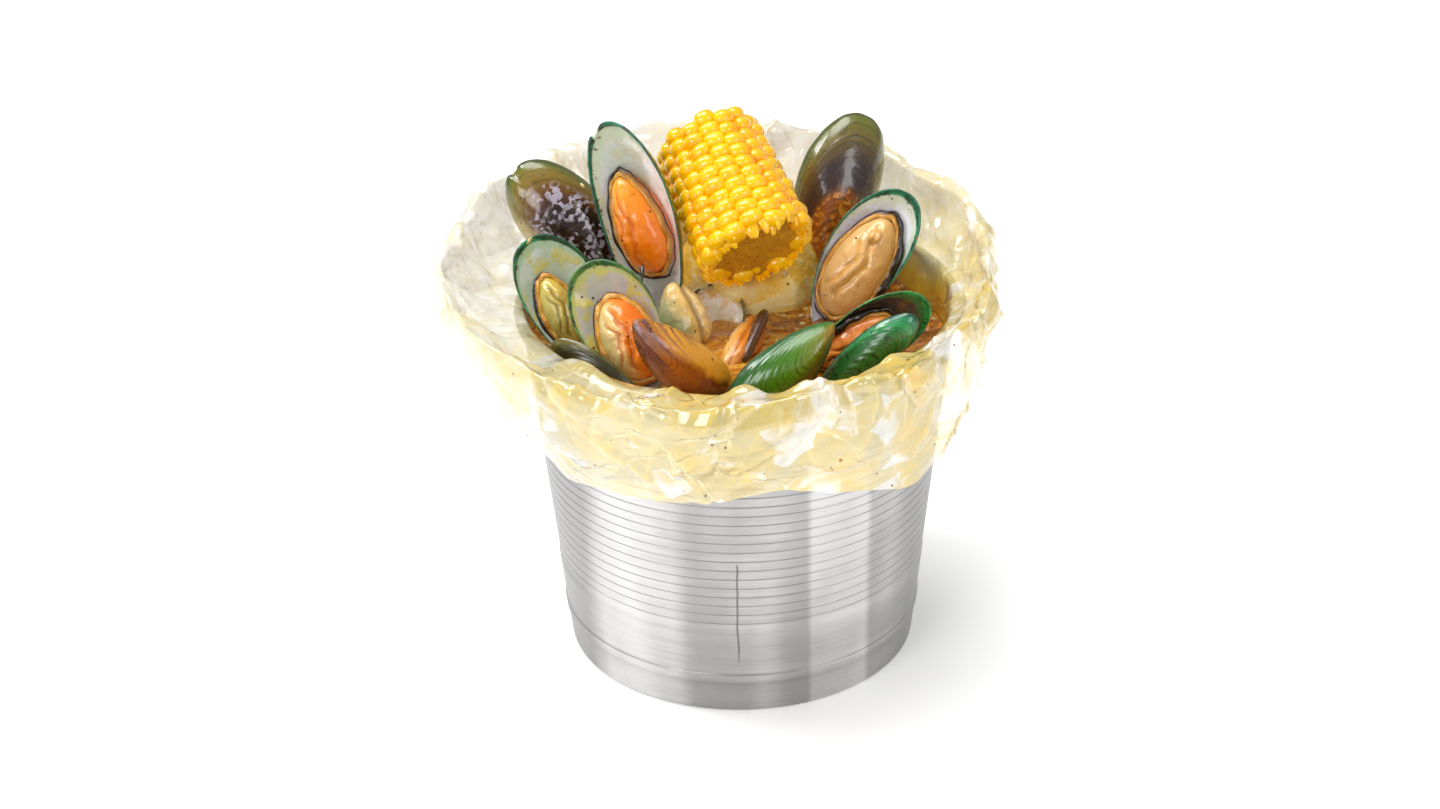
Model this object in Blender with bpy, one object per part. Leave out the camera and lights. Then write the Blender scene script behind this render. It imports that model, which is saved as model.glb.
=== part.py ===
# Steamed green-lipped mussels, a piece of corn and a potato in brown sauce,
# served in a metal pail lined with a clear film bag. Lengths are in millimetres
# and are turned into metres when an object is made. +X is right, -Y is the front,
# +Z is up, and the origin is the middle of the pail's base.

import math

import bmesh
import bpy
from mathutils import Matrix, Vector, noise
from mathutils.bvhtree import BVHTree

MM = 0.001
GAP = 0.35
SIDES = 48

# Pail
PAIL_HEIGHT = 171.4
PAIL_BASE_RADIUS = 81.7
PAIL_RIM_RADIUS = 100.0
PAIL_WALL = 1.5
PAIL_FLOOR = 1.8
BASE_EDGE = 1.2
BEAD_OUT = 2.4
BEAD_DEPTH = 5.0
BEAD_EDGE = 1.0
BAND_LOW = 15.4
BAND_HIGH = 21.3
BAND_OUT = 0.6
BAND_EDGE = 0.6
TURNED_FROM = 44.4
TURNED_IN = 0.5

# Bag
FILM = 0.8
FLARE_RADIUS = 125.0
FLARE_SHIFT = -9.0
FLARE_HEIGHT = 194.0
FLARE_RISE = 13.0
HEM_RADIUS = 103.0
HEM_SHIFT = 8.0
HEM_HEIGHT = 123.0
HEM_TILT = 12.0
CORNER_ANGLE = -50.0
CORNER_SPREAD = 16.0
CORNER_DROP = 14.0
# Steps of the free film, as shares of its way out and up from the rim to the
# flare, then of its way back in and down from the flare to the hem.
RISE_STEPS = ((0.38, 0.24), (0.70, 0.62))
FALL_STEPS = ((0.08, 0.30), (0.38, 0.55), (0.78, 0.80))
RIM_LIFT = 1.0
PLEAT = 1.0
LUMP = 3.5
# The film is built as three bands, each a node: the rows of its line that belong
# to the lining, to the flare and to the skirt, and the clearance between them.
LINER_ROWS = (0, 3)
FLARE_ROWS = (3, 8)
SKIRT_ROWS = (8, 12)
BAND_GAP = 0.5

# Sauce
SAUCE_LEVEL = 150.0
SAUCE_WAVE = 1.3
WAVE_SIZE = 11.0
SAUCE_RINGS = (0.79, 0.54, 0.27)

# Corn
CORN_NEAR = (9.5, 6.5, 191.5)
CORN_FAR = (-13.5, 55.0, 227.0)
CORN_RADIUS = 28.5
CORN_FAR_RADIUS = 25.0
CORN_ROWS = 16
CORN_KERNELS = 10
KERNEL_POINTS = 2
KERNEL_RISE = 2.4
VALLEY_SHARE = 0.35
KERNEL_UNEVEN = 0.6
END_DROP = 1.5
COB_RADIUS = 13.0

# Potato
POTATO_CENTRE = (8.0, 59.0, 152.0)
POTATO_RADII = (36.0, 34.0, 37.5)
POTATO_LUMP = 0.06

# Mussels: the beak's place, the far end's place, the turn about the length
# (0 has the outside of the shell to the front, 180 the inside), and the shell's
# width, depth and bend as shares of its length.
MUSSELS = {
    "a": dict(beak=(-34, 6, 145), end=(-59, 27, 248), turn=155, width=0.37, depth=0.15, bend=0.03),
    "b": dict(beak=(-48, 34, 143), end=(-101.5, 45.5, 219), turn=15, width=0.43, depth=0.16, bend=-0.03),
    "c": dict(beak=(-65, -23, 146), end=(-94, 3, 202), turn=205, width=0.54, depth=0.14, bend=0.03),
    "d_back": dict(beak=(-39, -52, 148), end=(-68, -21, 200), turn=190, width=0.56, depth=0.16, bend=0.02),
    "d_front": dict(beak=(-38, -60, 144), end=(-83, -42, 171), turn=-15, width=0.38, depth=0.12, bend=0.0),
    "e": dict(beak=(-46, -64, 192), end=(-6, -52, 149), turn=0, width=0.44, depth=0.17, bend=-0.03),
    "f": dict(beak=(-12, -2, 143), end=(-8, 32, 164), turn=180, width=0.66, depth=0.16, bend=0.0),
    "h": dict(beak=(42, -49, 182), end=(-4, -65, 147), turn=0, width=0.46, depth=0.18, bend=0.03),
    "i_back": dict(beak=(28, -34, 147), end=(84, -36, 186), turn=180, width=0.44, depth=0.14, bend=0.0),
    "i_front": dict(beak=(34, -45, 145), end=(78, -50, 185), turn=0, width=0.32, depth=0.15, bend=0.0),
    "j": dict(beak=(36, 14, 144), end=(80, 36, 206), turn=165, width=0.46, depth=0.15, bend=-0.02),
    "k": dict(beak=(36, 55, 146), end=(61, 84, 226), turn=10, width=0.46, depth=0.18, bend=0.03),
}
OUTLINE_POINTS = 22
OUTER_RINGS = (0.35, 0.66, 0.88, 1.0)
INNER_RINGS = (0.5, 0.85, 1.0)
WIDEST = 1.36
CROWN = 0.42
DOME = 0.62
SHELL_WALL = 1.5
CROWN_WALL = 1.7

# Meats: how far along and across the shell, their length, width and height, the
# angle in the shell and how much fuller the end near the beak is.
MEATS = {
    "a_meat": dict(shell="a", at=(57, 0), size=(48, 24, 11), angle=-8, pear=-0.25),
    "c_meat": dict(shell="c", at=(32, -2), size=(34, 16, 9), angle=0, pear=-0.1),
    "d_meat": dict(shell="d_back", at=(28, 2), size=(40, 24, 11), angle=0, pear=-0.1),
    "i_meat": dict(shell="i_back", at=(30, 0), size=(40, 18, 9), angle=0, pear=0.1),
    "j_meat": dict(shell="j", at=(38, -1), size=(52, 26, 12), angle=0, pear=-0.1),
}
# Loose meats: their length, width and height, which way and how steeply the
# length points, and how much thicker the far end is.
LUMPS = {
    "f_meat": dict(centre=(-25, 1, 161), size=(34, 24, 20), heading=130, lean=62, taper=-0.3),
    "g_meat": dict(centre=(2, -12, 153), size=(36, 14, 13), heading=62, lean=18, taper=0.3),
}
LUMP_SPLITS = 2
SEAT_GAP = 0.9
MEAT_SINK = 0.8
MEAT_POINTS = 16
MEAT_RINGS = (0.45, 0.8, 1.0)

MEAT_FINISH = {
    "a_meat": "orange_meat",
    "c_meat": "cream_meat",
    "d_meat": "orange_meat",
    "i_meat": "orange_meat",
    "j_meat": "cream_meat",
}
LUMP_FINISH = {"f_meat": "cream_meat", "g_meat": "orange_meat"}

FINISHES = {
    "metal": dict(color=(0.62, 0.62, 0.62, 1), metallic=1.0, roughness=0.35),
    "film": dict(color=(0.93, 0.88, 0.62, 1), metallic=0.0, roughness=0.2),
    "sauce": dict(color=(0.26, 0.11, 0.015, 1), metallic=0.0, roughness=0.15),
    "corn": dict(color=(0.95, 0.60, 0.01, 1), metallic=0.0, roughness=0.3),
    "potato": dict(color=(0.85, 0.62, 0.20, 1), metallic=0.0, roughness=0.4),
    "nacre": dict(color=(0.62, 0.62, 0.55, 1), metallic=0.0, roughness=0.25),
    "dark_shell": dict(color=(0.09, 0.05, 0.02, 1), metallic=0.0, roughness=0.2),
    "green_shell": dict(color=(0.08, 0.25, 0.02, 1), metallic=0.0, roughness=0.2),
    "amber_shell": dict(color=(0.30, 0.10, 0.02, 1), metallic=0.0, roughness=0.2),
    "orange_meat": dict(color=(0.90, 0.28, 0.01, 1), metallic=0.0, roughness=0.35),
    "cream_meat": dict(color=(0.85, 0.55, 0.22, 1), metallic=0.0, roughness=0.35),
}


def finish_material(name):
    """The one material of a finish, made the first time it is asked for."""
    found = bpy.data.materials.get(name)
    if found:
        return found
    look = FINISHES[name]
    material = bpy.data.materials.new(name)
    material.use_nodes = True
    shader = material.node_tree.nodes["Principled BSDF"]
    shader.inputs["Base Color"].default_value = look["color"]
    shader.inputs["Metallic"].default_value = look["metallic"]
    shader.inputs["Roughness"].default_value = look["roughness"]
    return material


def make_object(name, points, faces, finish, place=None):
    """An object from points in millimetres, with its faces turned outwards."""
    mesh = bpy.data.meshes.new(name)
    mesh.from_pydata([Vector(p) * MM for p in points], [], faces)
    if place is not None:
        mesh.transform(place)
    work = bmesh.new()
    work.from_mesh(mesh)
    bmesh.ops.recalc_face_normals(work, faces=work.faces)
    bmesh.ops.triangulate(work, faces=work.faces)
    work.to_mesh(mesh)
    work.free()
    mesh.shade_smooth()
    mesh.set_sharp_from_angle(angle=math.radians(40))
    mesh.materials.append(finish_material(finish))
    made = bpy.data.objects.new(name, mesh)
    bpy.context.collection.objects.link(made)
    return made


def ring_faces(first, second, count):
    """Quads between two closed rings of points that start at these indices."""
    return [
        (first + i, first + (i + 1) % count, second + (i + 1) % count, second + i)
        for i in range(count)
    ]


def fan_faces(centre, ring, count):
    return [(centre, ring + i, ring + (i + 1) % count) for i in range(count)]


def smooth_step(low, high, value):
    t = min(max((value - low) / (high - low), 0.0), 1.0)
    return t * t * (3 - 2 * t)


def pail_radius(z):
    """Outer radius of the pail's plain wall at a height."""
    return PAIL_BASE_RADIUS + (PAIL_RIM_RADIUS - PAIL_BASE_RADIUS) * z / PAIL_HEIGHT


def circle(radius, z):
    steps = [2 * math.pi * i / SIDES for i in range(SIDES)]
    return [(radius * math.cos(a), radius * math.sin(a), z) for a in steps]


def ringed_solid(name, first, rings, last, finish, place=None):
    """A closed solid from rings of one count of points, shut by a point at each end."""
    count = len(rings[0])
    points, faces = [first], fan_faces(0, 1, count)
    for k, ring in enumerate(rings):
        points += ring
        if k:
            faces += ring_faces(1 + (k - 1) * count, 1 + k * count, count)
    faces += fan_faces(len(points), len(points) - count, count)
    points.append(last)
    return make_object(name, points, faces, finish, place)


def make_pail():
    bead_foot = PAIL_HEIGHT - BEAD_DEPTH
    wall = [
        (PAIL_BASE_RADIUS - BASE_EDGE, 0.0),
        (pail_radius(BASE_EDGE), BASE_EDGE),
        (pail_radius(BAND_LOW), BAND_LOW),
        (pail_radius(BAND_LOW) + BAND_OUT, BAND_LOW + BAND_EDGE),
        (pail_radius(BAND_HIGH) + BAND_OUT, BAND_HIGH - BAND_EDGE),
        (pail_radius(BAND_HIGH), BAND_HIGH),
        (pail_radius(TURNED_FROM), TURNED_FROM),
        (pail_radius(TURNED_FROM) - TURNED_IN, TURNED_FROM + BAND_EDGE),
        (pail_radius(bead_foot) - TURNED_IN, bead_foot),
        (PAIL_RIM_RADIUS + BEAD_OUT, bead_foot + BEAD_EDGE),
        (PAIL_RIM_RADIUS + BEAD_OUT, PAIL_HEIGHT - BEAD_EDGE),
        (PAIL_RIM_RADIUS + BEAD_OUT - BEAD_EDGE, PAIL_HEIGHT),
        (PAIL_RIM_RADIUS - PAIL_WALL, PAIL_HEIGHT),
        (pail_radius(PAIL_FLOOR) - PAIL_WALL, PAIL_FLOOR),
    ]
    rings = [circle(r, z) for r, z in wall]
    return ringed_solid("pan", (0, 0, 0), rings, (0, 0, PAIL_FLOOR), "metal")


def bag_profile(angle):
    """The film's middle line at an angle, from the wall's foot to the hem."""
    c, s = math.cos(angle), math.sin(angle)
    off_wall = PAIL_WALL + GAP + FILM / 2
    foot = PAIL_FLOOR + GAP + FILM / 2
    flare = FLARE_RADIUS + FLARE_SHIFT * c
    top = FLARE_HEIGHT + FLARE_RISE * s
    away = (math.degrees(angle) - CORNER_ANGLE + 180) % 360 - 180
    corner = math.exp(-((away / CORNER_SPREAD) ** 2))
    hem = HEM_HEIGHT + HEM_TILT * c - CORNER_DROP * corner
    hem_radius = HEM_RADIUS + HEM_SHIFT * c + 2 * corner
    rise, drop = top - PAIL_HEIGHT, top - hem
    line = [
        (pail_radius(foot) - off_wall, foot),
        (pail_radius(PAIL_HEIGHT - 4) - off_wall, PAIL_HEIGHT - 4),
        (PAIL_RIM_RADIUS - off_wall + 0.2, PAIL_HEIGHT + 0.9),
        (PAIL_RIM_RADIUS + 3.5, PAIL_HEIGHT + 2.4),
    ]
    for out, up in RISE_STEPS:
        radius = (1 - out) * PAIL_RIM_RADIUS + out * flare
        line.append((radius, PAIL_HEIGHT + up * rise + RIM_LIFT))
    line += [(flare - 4.5, top - 2.6), (flare, top), (flare + 2.2, top - 6)]
    for back, down in FALL_STEPS:
        radius = (1 - back) * flare + back * hem_radius
        line.append((radius, top - down * drop))
    return line + [(hem_radius, hem)]


def crumple(angle, step):
    """How far the film is pushed out and up by its pleats at a point of its line."""
    free = smooth_step(2.5, 6.0, step)
    pleats = math.sin(9 * angle + 0.5 * step + 0.5) + 0.8 * math.sin(14 * angle - 0.9 * step + 1.1)
    where = Vector((2.6 * math.cos(angle), 2.6 * math.sin(angle), 0.45 * step + 0.45))
    lump = noise.noise(where)
    return free * (PLEAT * pleats + LUMP * lump), free * (PLEAT * pleats - LUMP * lump)


def film_ring(row):
    """The crumpled film's points round the pail in one row of its line."""
    ring = []
    for i in range(SIDES):
        angle = 2 * math.pi * i / SIDES
        radius, z = bag_profile(angle)[row]
        out, up = crumple(angle, row)
        ring.append(Vector(((radius + out) * math.cos(angle), (radius + out) * math.sin(angle), z + up)))
    return ring


def make_film_band(name, rows):
    """A band of the bag's film between two rows; the first one closes the foot."""
    first, last = rows
    rings = [film_ring(row) for row in range(first, last + 1)]
    points, faces = [], []
    if first == 0:
        points.append((0.0, 0.0, rings[0][0].z))
        faces += fan_faces(0, 1, SIDES)
    else:
        steps = [(b - a).normalized() * BAND_GAP for a, b in zip(rings[0], rings[1])]
        rings[0] = [p + step for p, step in zip(rings[0], steps)]
    start = len(points)
    for k, ring in enumerate(rings):
        points += ring
        if k:
            faces += ring_faces(start + (k - 1) * SIDES, start + k * SIDES, SIDES)
    band = make_object(name, points, faces, "film")
    thicken = band.modifiers.new("film", "SOLIDIFY")
    thicken.thickness = FILM * MM
    thicken.offset = 0.0
    thicken.use_even_offset = True
    return band


def make_bag():
    """The film bag: down the pail's inside, out over the rim and back down outside."""
    make_film_band("bag_liner", LINER_ROWS)
    make_film_band("bag_flare", FLARE_ROWS)
    make_film_band("bag_skirt", SKIRT_ROWS)


def make_sauce():
    """The sauce up to its level, with low waves on top."""
    inset = PAIL_WALL + 2 * GAP + FILM
    foot = PAIL_FLOOR + 2 * GAP + FILM
    edge = pail_radius(SAUCE_LEVEL) - inset
    rings = [
        circle(pail_radius(foot) - inset - 1.2, foot),
        circle(pail_radius(60) - inset, 60),
        circle(edge, SAUCE_LEVEL),
    ]
    for share in SAUCE_RINGS:
        ring = circle(edge * share, SAUCE_LEVEL)
        waves = [noise.noise(Vector((x / WAVE_SIZE, y / WAVE_SIZE, 3.0))) for x, y, z in ring]
        rings.append([(x, y, z + SAUCE_WAVE * w) for (x, y, z), w in zip(ring, waves)])
    return ringed_solid("sauce", (0, 0, foot), rings, (0, 0, SAUCE_LEVEL), "sauce")


def frame_between(start, end, turn):
    """A frame with X from start to end and Z, the outside, to the front at turn 0."""
    start, end = Vector(start), Vector(end)
    along = (end - start).normalized()
    front = Vector((0, -1, 0))
    out = (front - along * front.dot(along)).normalized()
    out = Matrix.Rotation(math.radians(turn), 3, along) @ out
    side = out.cross(along)
    frame = Matrix((along, side, out)).transposed().to_4x4()
    frame.translation = start * MM
    return frame


def shell_length(name):
    shape = MUSSELS[name]
    return (Vector(shape["end"]) - Vector(shape["beak"])).length


def shell_point(name, around, share):
    """A point of one valve's outside, from its rim (share 1) to its crown (share 0)."""
    shape, length = MUSSELS[name], shell_length(name)
    along = ((1 - math.cos(around)) / 2) ** (1 / WIDEST)
    across = 0.5 * shape["width"] * math.sin(around)
    x = CROWN + (along - CROWN) * share
    y = across * share + shape["bend"] * math.sin(math.pi * x)
    z = shape["depth"] * (1 - share**2) ** DOME
    return Vector((x, y, z)) * length


def shell_ring(name, share):
    count = OUTLINE_POINTS
    return [shell_point(name, 2 * math.pi * i / count, share) for i in range(count)]


def make_valve(name, shell, finish):
    """One open valve: the outside, and an inside drawn in by the wall."""
    shape, length = MUSSELS[shell], shell_length(shell)
    middle = Vector((CROWN * length, shape["bend"] * length, 0))
    shrink = 1 - 2 * SHELL_WALL / (shape["width"] * length)
    sink = 1 - CROWN_WALL / (shape["depth"] * length)
    thinner = Matrix.Diagonal((shrink, shrink, sink))
    rings = [shell_ring(shell, share) for share in OUTER_RINGS]
    for share in reversed(INNER_RINGS):
        rings.append([middle + thinner @ (p - middle) for p in shell_ring(shell, share)])
    crown = shell_point(shell, 0, 0)
    under = Vector((crown.x, crown.y, crown.z * sink))
    place = frame_between(shape["beak"], shape["end"], shape["turn"])
    return ringed_solid(name, crown, rings, under, finish, place)


def make_closed_mussel(name, shell, finish):
    """A shut mussel: both valves as one solid, with the seam between them."""
    shape = MUSSELS[shell]
    mirror = Matrix.Diagonal((1, 1, -1))
    rings = [shell_ring(shell, share) for share in OUTER_RINGS]
    rings += [[mirror @ p for p in ring] for ring in reversed(rings[:-1])]
    crown = shell_point(shell, 0, 0)
    place = frame_between(shape["beak"], shape["end"], shape["turn"])
    return ringed_solid(name, crown, rings, mirror @ crown, finish, place)


def make_meat(name, valve, finish):
    """A mussel's meat: it follows the valve that it lies in and swells out of it."""
    meat = MEATS[name]
    shape = MUSSELS[meat["shell"]]
    place = frame_between(shape["beak"], shape["end"], shape["turn"])
    local = valve.data.copy()
    local.transform(place.inverted())
    work = bmesh.new()
    work.from_mesh(local)
    tree = BVHTree.FromBMesh(work)
    length, width, height = meat["size"]
    turn = Matrix.Rotation(math.radians(meat["angle"]), 2)

    def spot(around, share):
        x = 0.5 * length * math.cos(around) * share
        y = 0.5 * width * math.sin(around) * share * (1 + meat["pear"] * math.cos(around))
        x, y = turn @ Vector((x, y))
        return meat["at"][0] + x, meat["at"][1] + y

    def seat(x, y):
        hit = tree.ray_cast(Vector((x, y, -60)) * MM, Vector((0, 0, 1)))[0]
        return (hit.z / MM if hit else 0.0) - SEAT_GAP

    steps = [2 * math.pi * i / MEAT_POINTS for i in range(MEAT_POINTS)]
    level = min(seat(*spot(around, 1.0)) for around in steps) - MEAT_SINK
    under, over = [], []
    for share in MEAT_RINGS:
        swell = height * (1 - share**2) ** 0.5
        spots = [spot(around, share) for around in steps]
        under.append([(x, y, seat(x, y)) for x, y in spots])
        over.append([(x, y, level - swell) for x, y in spots])
    x, y = spot(0, 0)
    first, last = (x, y, seat(x, y)), (x, y, level - height)
    work.free()
    bpy.data.meshes.remove(local)
    return ringed_solid(name, first, under + over[::-1], last, finish, place)


def kernel_radius(row, part, step, steps):
    """The corn's radius in a row of kernels, at one of the points across the row."""
    rise = KERNEL_RISE if part else 0.0
    if (step + row) % 2 == 0:
        rise *= VALLEY_SHARE
    from_end = min(step, steps - step) / 2
    uneven = KERNEL_UNEVEN * noise.noise(Vector((row * 1.7, step * 0.9, 5.0)))
    radius = CORN_RADIUS + (CORN_FAR_RADIUS - CORN_RADIUS) * step / steps
    return radius - KERNEL_RISE + rise + uneven - END_DROP * max(0.0, 1 - from_end)


def make_corn():
    """A cut length of corn: rows of raised kernels round it and two cut ends."""
    near, far = Vector(CORN_NEAR), Vector(CORN_FAR)
    length, steps = (far - near).length, CORN_KERNELS * 2
    around = CORN_ROWS * KERNEL_POINTS
    turns = [2 * math.pi * i / around for i in range(around)]
    rings = [[(0.0, COB_RADIUS * math.cos(a), COB_RADIUS * math.sin(a)) for a in turns]]
    for step in range(steps + 1):
        ring = []
        for i, a in enumerate(turns):
            row, part = divmod(i, KERNEL_POINTS)
            r = kernel_radius(row, part, step, steps)
            ring.append((length * step / steps, r * math.cos(a), r * math.sin(a)))
        rings.append(ring)
    rings.append([(length, y, z) for x, y, z in rings[0]])
    place = frame_between(near, far, 0)
    return ringed_solid("corn", (0, 0, 0), rings, (length, 0, 0), "corn", place)


def make_potato():
    work = bmesh.new()
    bmesh.ops.create_icosphere(work, subdivisions=3, radius=1.0)
    points = []
    for v in work.verts:
        lump = 1 + POTATO_LUMP * noise.noise(v.co * 1.7)
        points.append([c + r * lump * p for c, r, p in zip(POTATO_CENTRE, POTATO_RADII, v.co)])
    faces = [[v.index for v in f.verts] for f in work.faces]
    work.free()
    return make_object("potato", points, faces, "potato")


def make_lump(name, finish):
    """A loose piece of meat: an egg shape with a waist, leaning in the sauce."""
    lump = LUMPS[name]
    length, width, height = lump["size"]
    work = bmesh.new()
    bmesh.ops.create_icosphere(work, subdivisions=LUMP_SPLITS, radius=0.5)
    points = []
    for v in work.verts:
        x, y, z = v.co
        taper = 1 + lump["taper"] * x
        points.append((length * x, width * y * taper, height * z * taper))
    faces = [[v.index for v in f.verts] for f in work.faces]
    work.free()
    place = Matrix.Translation(Vector(lump["centre"]) * MM)
    place = place @ Matrix.Rotation(math.radians(lump["heading"]), 4, "Z")
    place = place @ Matrix.Rotation(math.radians(-lump["lean"]), 4, "Y")
    return make_object(name, points, faces, finish, place)


def swell(work, amount):
    """Moves the points of a mesh outwards by an amount."""
    work.normal_update()
    shifts = [v.normal * amount * MM for v in work.verts]
    for v, shift in zip(work.verts, shifts):
        v.co += shift


def swollen_copy(source, amount):
    """A copy of a piece, grown by an amount, that serves as a cutter."""
    mesh = source.data.copy()
    work = bmesh.new()
    work.from_mesh(mesh)
    swell(work, amount)
    work.to_mesh(mesh)
    work.free()
    cutter = bpy.data.objects.new(source.name + "_cutter", mesh)
    cutter.hide_render = True
    cutter.display_type = "WIRE"
    return cutter


def search_tree(piece, amount=0.0):
    """A search tree of a piece's surface, grown by an amount."""
    work = bmesh.new()
    work.from_mesh(piece.data)
    swell(work, amount)
    tree = BVHTree.FromBMesh(work)
    work.free()
    return tree


def meet(piece, other):
    """Whether two pieces come closer to each other than the gap."""
    return bool(search_tree(piece).overlap(search_tree(other, GAP)))


def cut_clear(piece, others):
    """Cuts a piece back so that it keeps the gap to the others, and drops scraps."""
    tools = bpy.data.collections.new(piece.name + "_cutters")
    bpy.context.scene.collection.children.link(tools)
    for other in others:
        tools.objects.link(swollen_copy(other, GAP))
    cut = piece.modifiers.new("clear", "BOOLEAN")
    cut.operation = "DIFFERENCE"
    cut.operand_type = "COLLECTION"
    cut.collection = tools
    graph = bpy.context.evaluated_depsgraph_get()
    graph.update()
    mesh = bpy.data.meshes.new_from_object(piece.evaluated_get(graph))
    piece.modifiers.remove(cut)
    for cutter in list(tools.objects):
        bpy.data.objects.remove(cutter)
    bpy.data.collections.remove(tools)
    piece.data = mesh
    keep_largest_island(mesh)


def settle(pieces):
    """Cuts each piece back from those before it in the list that it would touch."""
    for k, piece in enumerate(pieces):
        near = [other for other in pieces[:k] if meet(piece, other)]
        if near:
            cut_clear(piece, near)


def keep_largest_island(mesh):
    work = bmesh.new()
    work.from_mesh(mesh)
    bmesh.ops.remove_doubles(work, verts=work.verts, dist=1e-6)
    bmesh.ops.triangulate(work, faces=work.faces)
    unseen, islands = set(work.verts), []
    while unseen:
        island, edge = set(), [unseen.pop()]
        while edge:
            v = edge.pop()
            island.add(v)
            for e in v.link_edges:
                w = e.other_vert(v)
                if w in unseen:
                    unseen.discard(w)
                    edge.append(w)
        islands.append(island)
    largest = max(islands, key=len)
    loose = [v for v in work.verts if v not in largest]
    bmesh.ops.delete(work, geom=loose, context="VERTS")
    work.to_mesh(mesh)
    work.free()


def build():
    for old in list(bpy.data.objects):
        bpy.data.objects.remove(old)
    make_pail()
    make_bag()
    sauce = make_sauce()
    corn = make_corn()
    potato = make_potato()
    valves = {
        "a": make_valve("a_valve", "a", "nacre"),
        "c": make_valve("c_valve", "c", "nacre"),
        "d_back": make_valve("d_valve_back", "d_back", "nacre"),
        "d_front": make_valve("d_valve_front", "d_front", "dark_shell"),
        "f": make_valve("f_valve", "f", "nacre"),
        "i_back": make_valve("i_valve_back", "i_back", "dark_shell"),
        "i_front": make_valve("i_valve_front", "i_front", "green_shell"),
        "j": make_valve("j_valve", "j", "nacre"),
    }
    shut = {
        "b": make_closed_mussel("b_mussel", "b", "dark_shell"),
        "e": make_closed_mussel("e_mussel", "e", "amber_shell"),
        "h": make_closed_mussel("h_mussel", "h", "green_shell"),
        "k": make_closed_mussel("k_mussel", "k", "dark_shell"),
    }
    meats = {
        name: make_meat(name, valves[meat["shell"]], MEAT_FINISH[name])
        for name, meat in MEATS.items()
    }
    for name, finish in LUMP_FINISH.items():
        meats[name] = make_lump(name, finish)
    settle([corn, *shut.values(), *valves.values(), *meats.values(), potato, sauce])


build()
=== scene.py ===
from math import cos, pi, radians, sin

import bmesh
import bpy
import numpy as np
from mathutils import Matrix, Vector, noise
from mathutils.bvhtree import BVHTree


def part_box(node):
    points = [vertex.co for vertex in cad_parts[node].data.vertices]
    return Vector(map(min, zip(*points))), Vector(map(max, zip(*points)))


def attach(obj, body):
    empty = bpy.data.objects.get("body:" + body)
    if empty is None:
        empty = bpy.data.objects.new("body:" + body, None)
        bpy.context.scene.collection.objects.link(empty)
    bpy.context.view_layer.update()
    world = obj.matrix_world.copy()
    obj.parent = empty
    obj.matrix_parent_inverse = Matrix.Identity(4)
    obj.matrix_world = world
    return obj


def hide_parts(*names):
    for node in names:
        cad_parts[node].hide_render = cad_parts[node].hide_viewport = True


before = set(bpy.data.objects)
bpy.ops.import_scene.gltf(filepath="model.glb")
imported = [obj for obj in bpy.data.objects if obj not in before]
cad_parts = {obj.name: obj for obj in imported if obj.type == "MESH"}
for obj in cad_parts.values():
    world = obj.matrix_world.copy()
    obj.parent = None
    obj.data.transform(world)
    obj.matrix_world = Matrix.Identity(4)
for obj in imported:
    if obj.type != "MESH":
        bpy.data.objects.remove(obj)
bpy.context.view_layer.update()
mm = 0.001  # every length below is in millimetres, every colour as a screen shows it
print("frame loaded,", len(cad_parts), "nodes")


# node trees

def operator(operation, swapped=False):
    def run(self, other):
        pair = (other, self) if swapped else (self, other)
        return self.tree.maths(operation, *pair)
    return run


class Value:  # one output of a node, which can stand in a sum
    __add__ = operator("ADD")
    __radd__ = operator("ADD", True)
    __sub__ = operator("SUBTRACT")
    __rsub__ = operator("SUBTRACT", True)
    __mul__ = operator("MULTIPLY")
    __rmul__ = operator("MULTIPLY", True)
    __truediv__ = operator("DIVIDE")
    __lt__ = operator("LESS_THAN")

    def __init__(self, tree, socket):
        self.tree = tree
        self.socket = socket


class Tree:  # the nodes of a material or of a geometry group
    def __init__(self, nodeTree):
        self.nodeTree = nodeTree

    def plug(self, socket, value):
        if isinstance(value, Value):
            self.nodeTree.links.new(value.socket, socket)
        else:
            socket.default_value = value

    def node(self, kind, sockets, **settings):
        made = self.nodeTree.nodes.new(kind)
        for key, value in settings.items():
            setattr(made, key, value)
        for key, value in sockets.items():
            self.plug(made.inputs[key], value)
        return made

    def get(self, kind, sockets, output=0, **settings):
        return Value(self, self.node(kind, sockets, **settings).outputs[output])

    def maths(self, operation, *values):
        return self.get("ShaderNodeMath", dict(enumerate(values)), operation=operation)

    def vector(self, x=0.0, y=0.0, z=0.0):
        return self.get("ShaderNodeCombineXYZ", {0: x, 1: y, 2: z})


def rgb(code):  # a colour's six hexadecimal digits, made linear
    parts = [int(code[k:k + 2], 16) / 255 for k in (0, 2, 4)]
    return tuple(c / 12.92 if c <= 0.04045 else ((c + 0.055) / 1.055) ** 2.4 for c in parts) + (1.0,)


inputOf = {
    "color": "Base Color", "rough": "Roughness", "normal": "Normal", "alpha": "Alpha", "metal": "Metallic",
    "ior": "IOR", "coat": "Coat Weight", "coatRough": "Coat Roughness", "glow": "Emission Strength",
    "glowColor": "Emission Color", "soft": "Subsurface Weight", "softRadius": "Subsurface Radius",
    "softScale": "Subsurface Scale",
}


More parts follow.
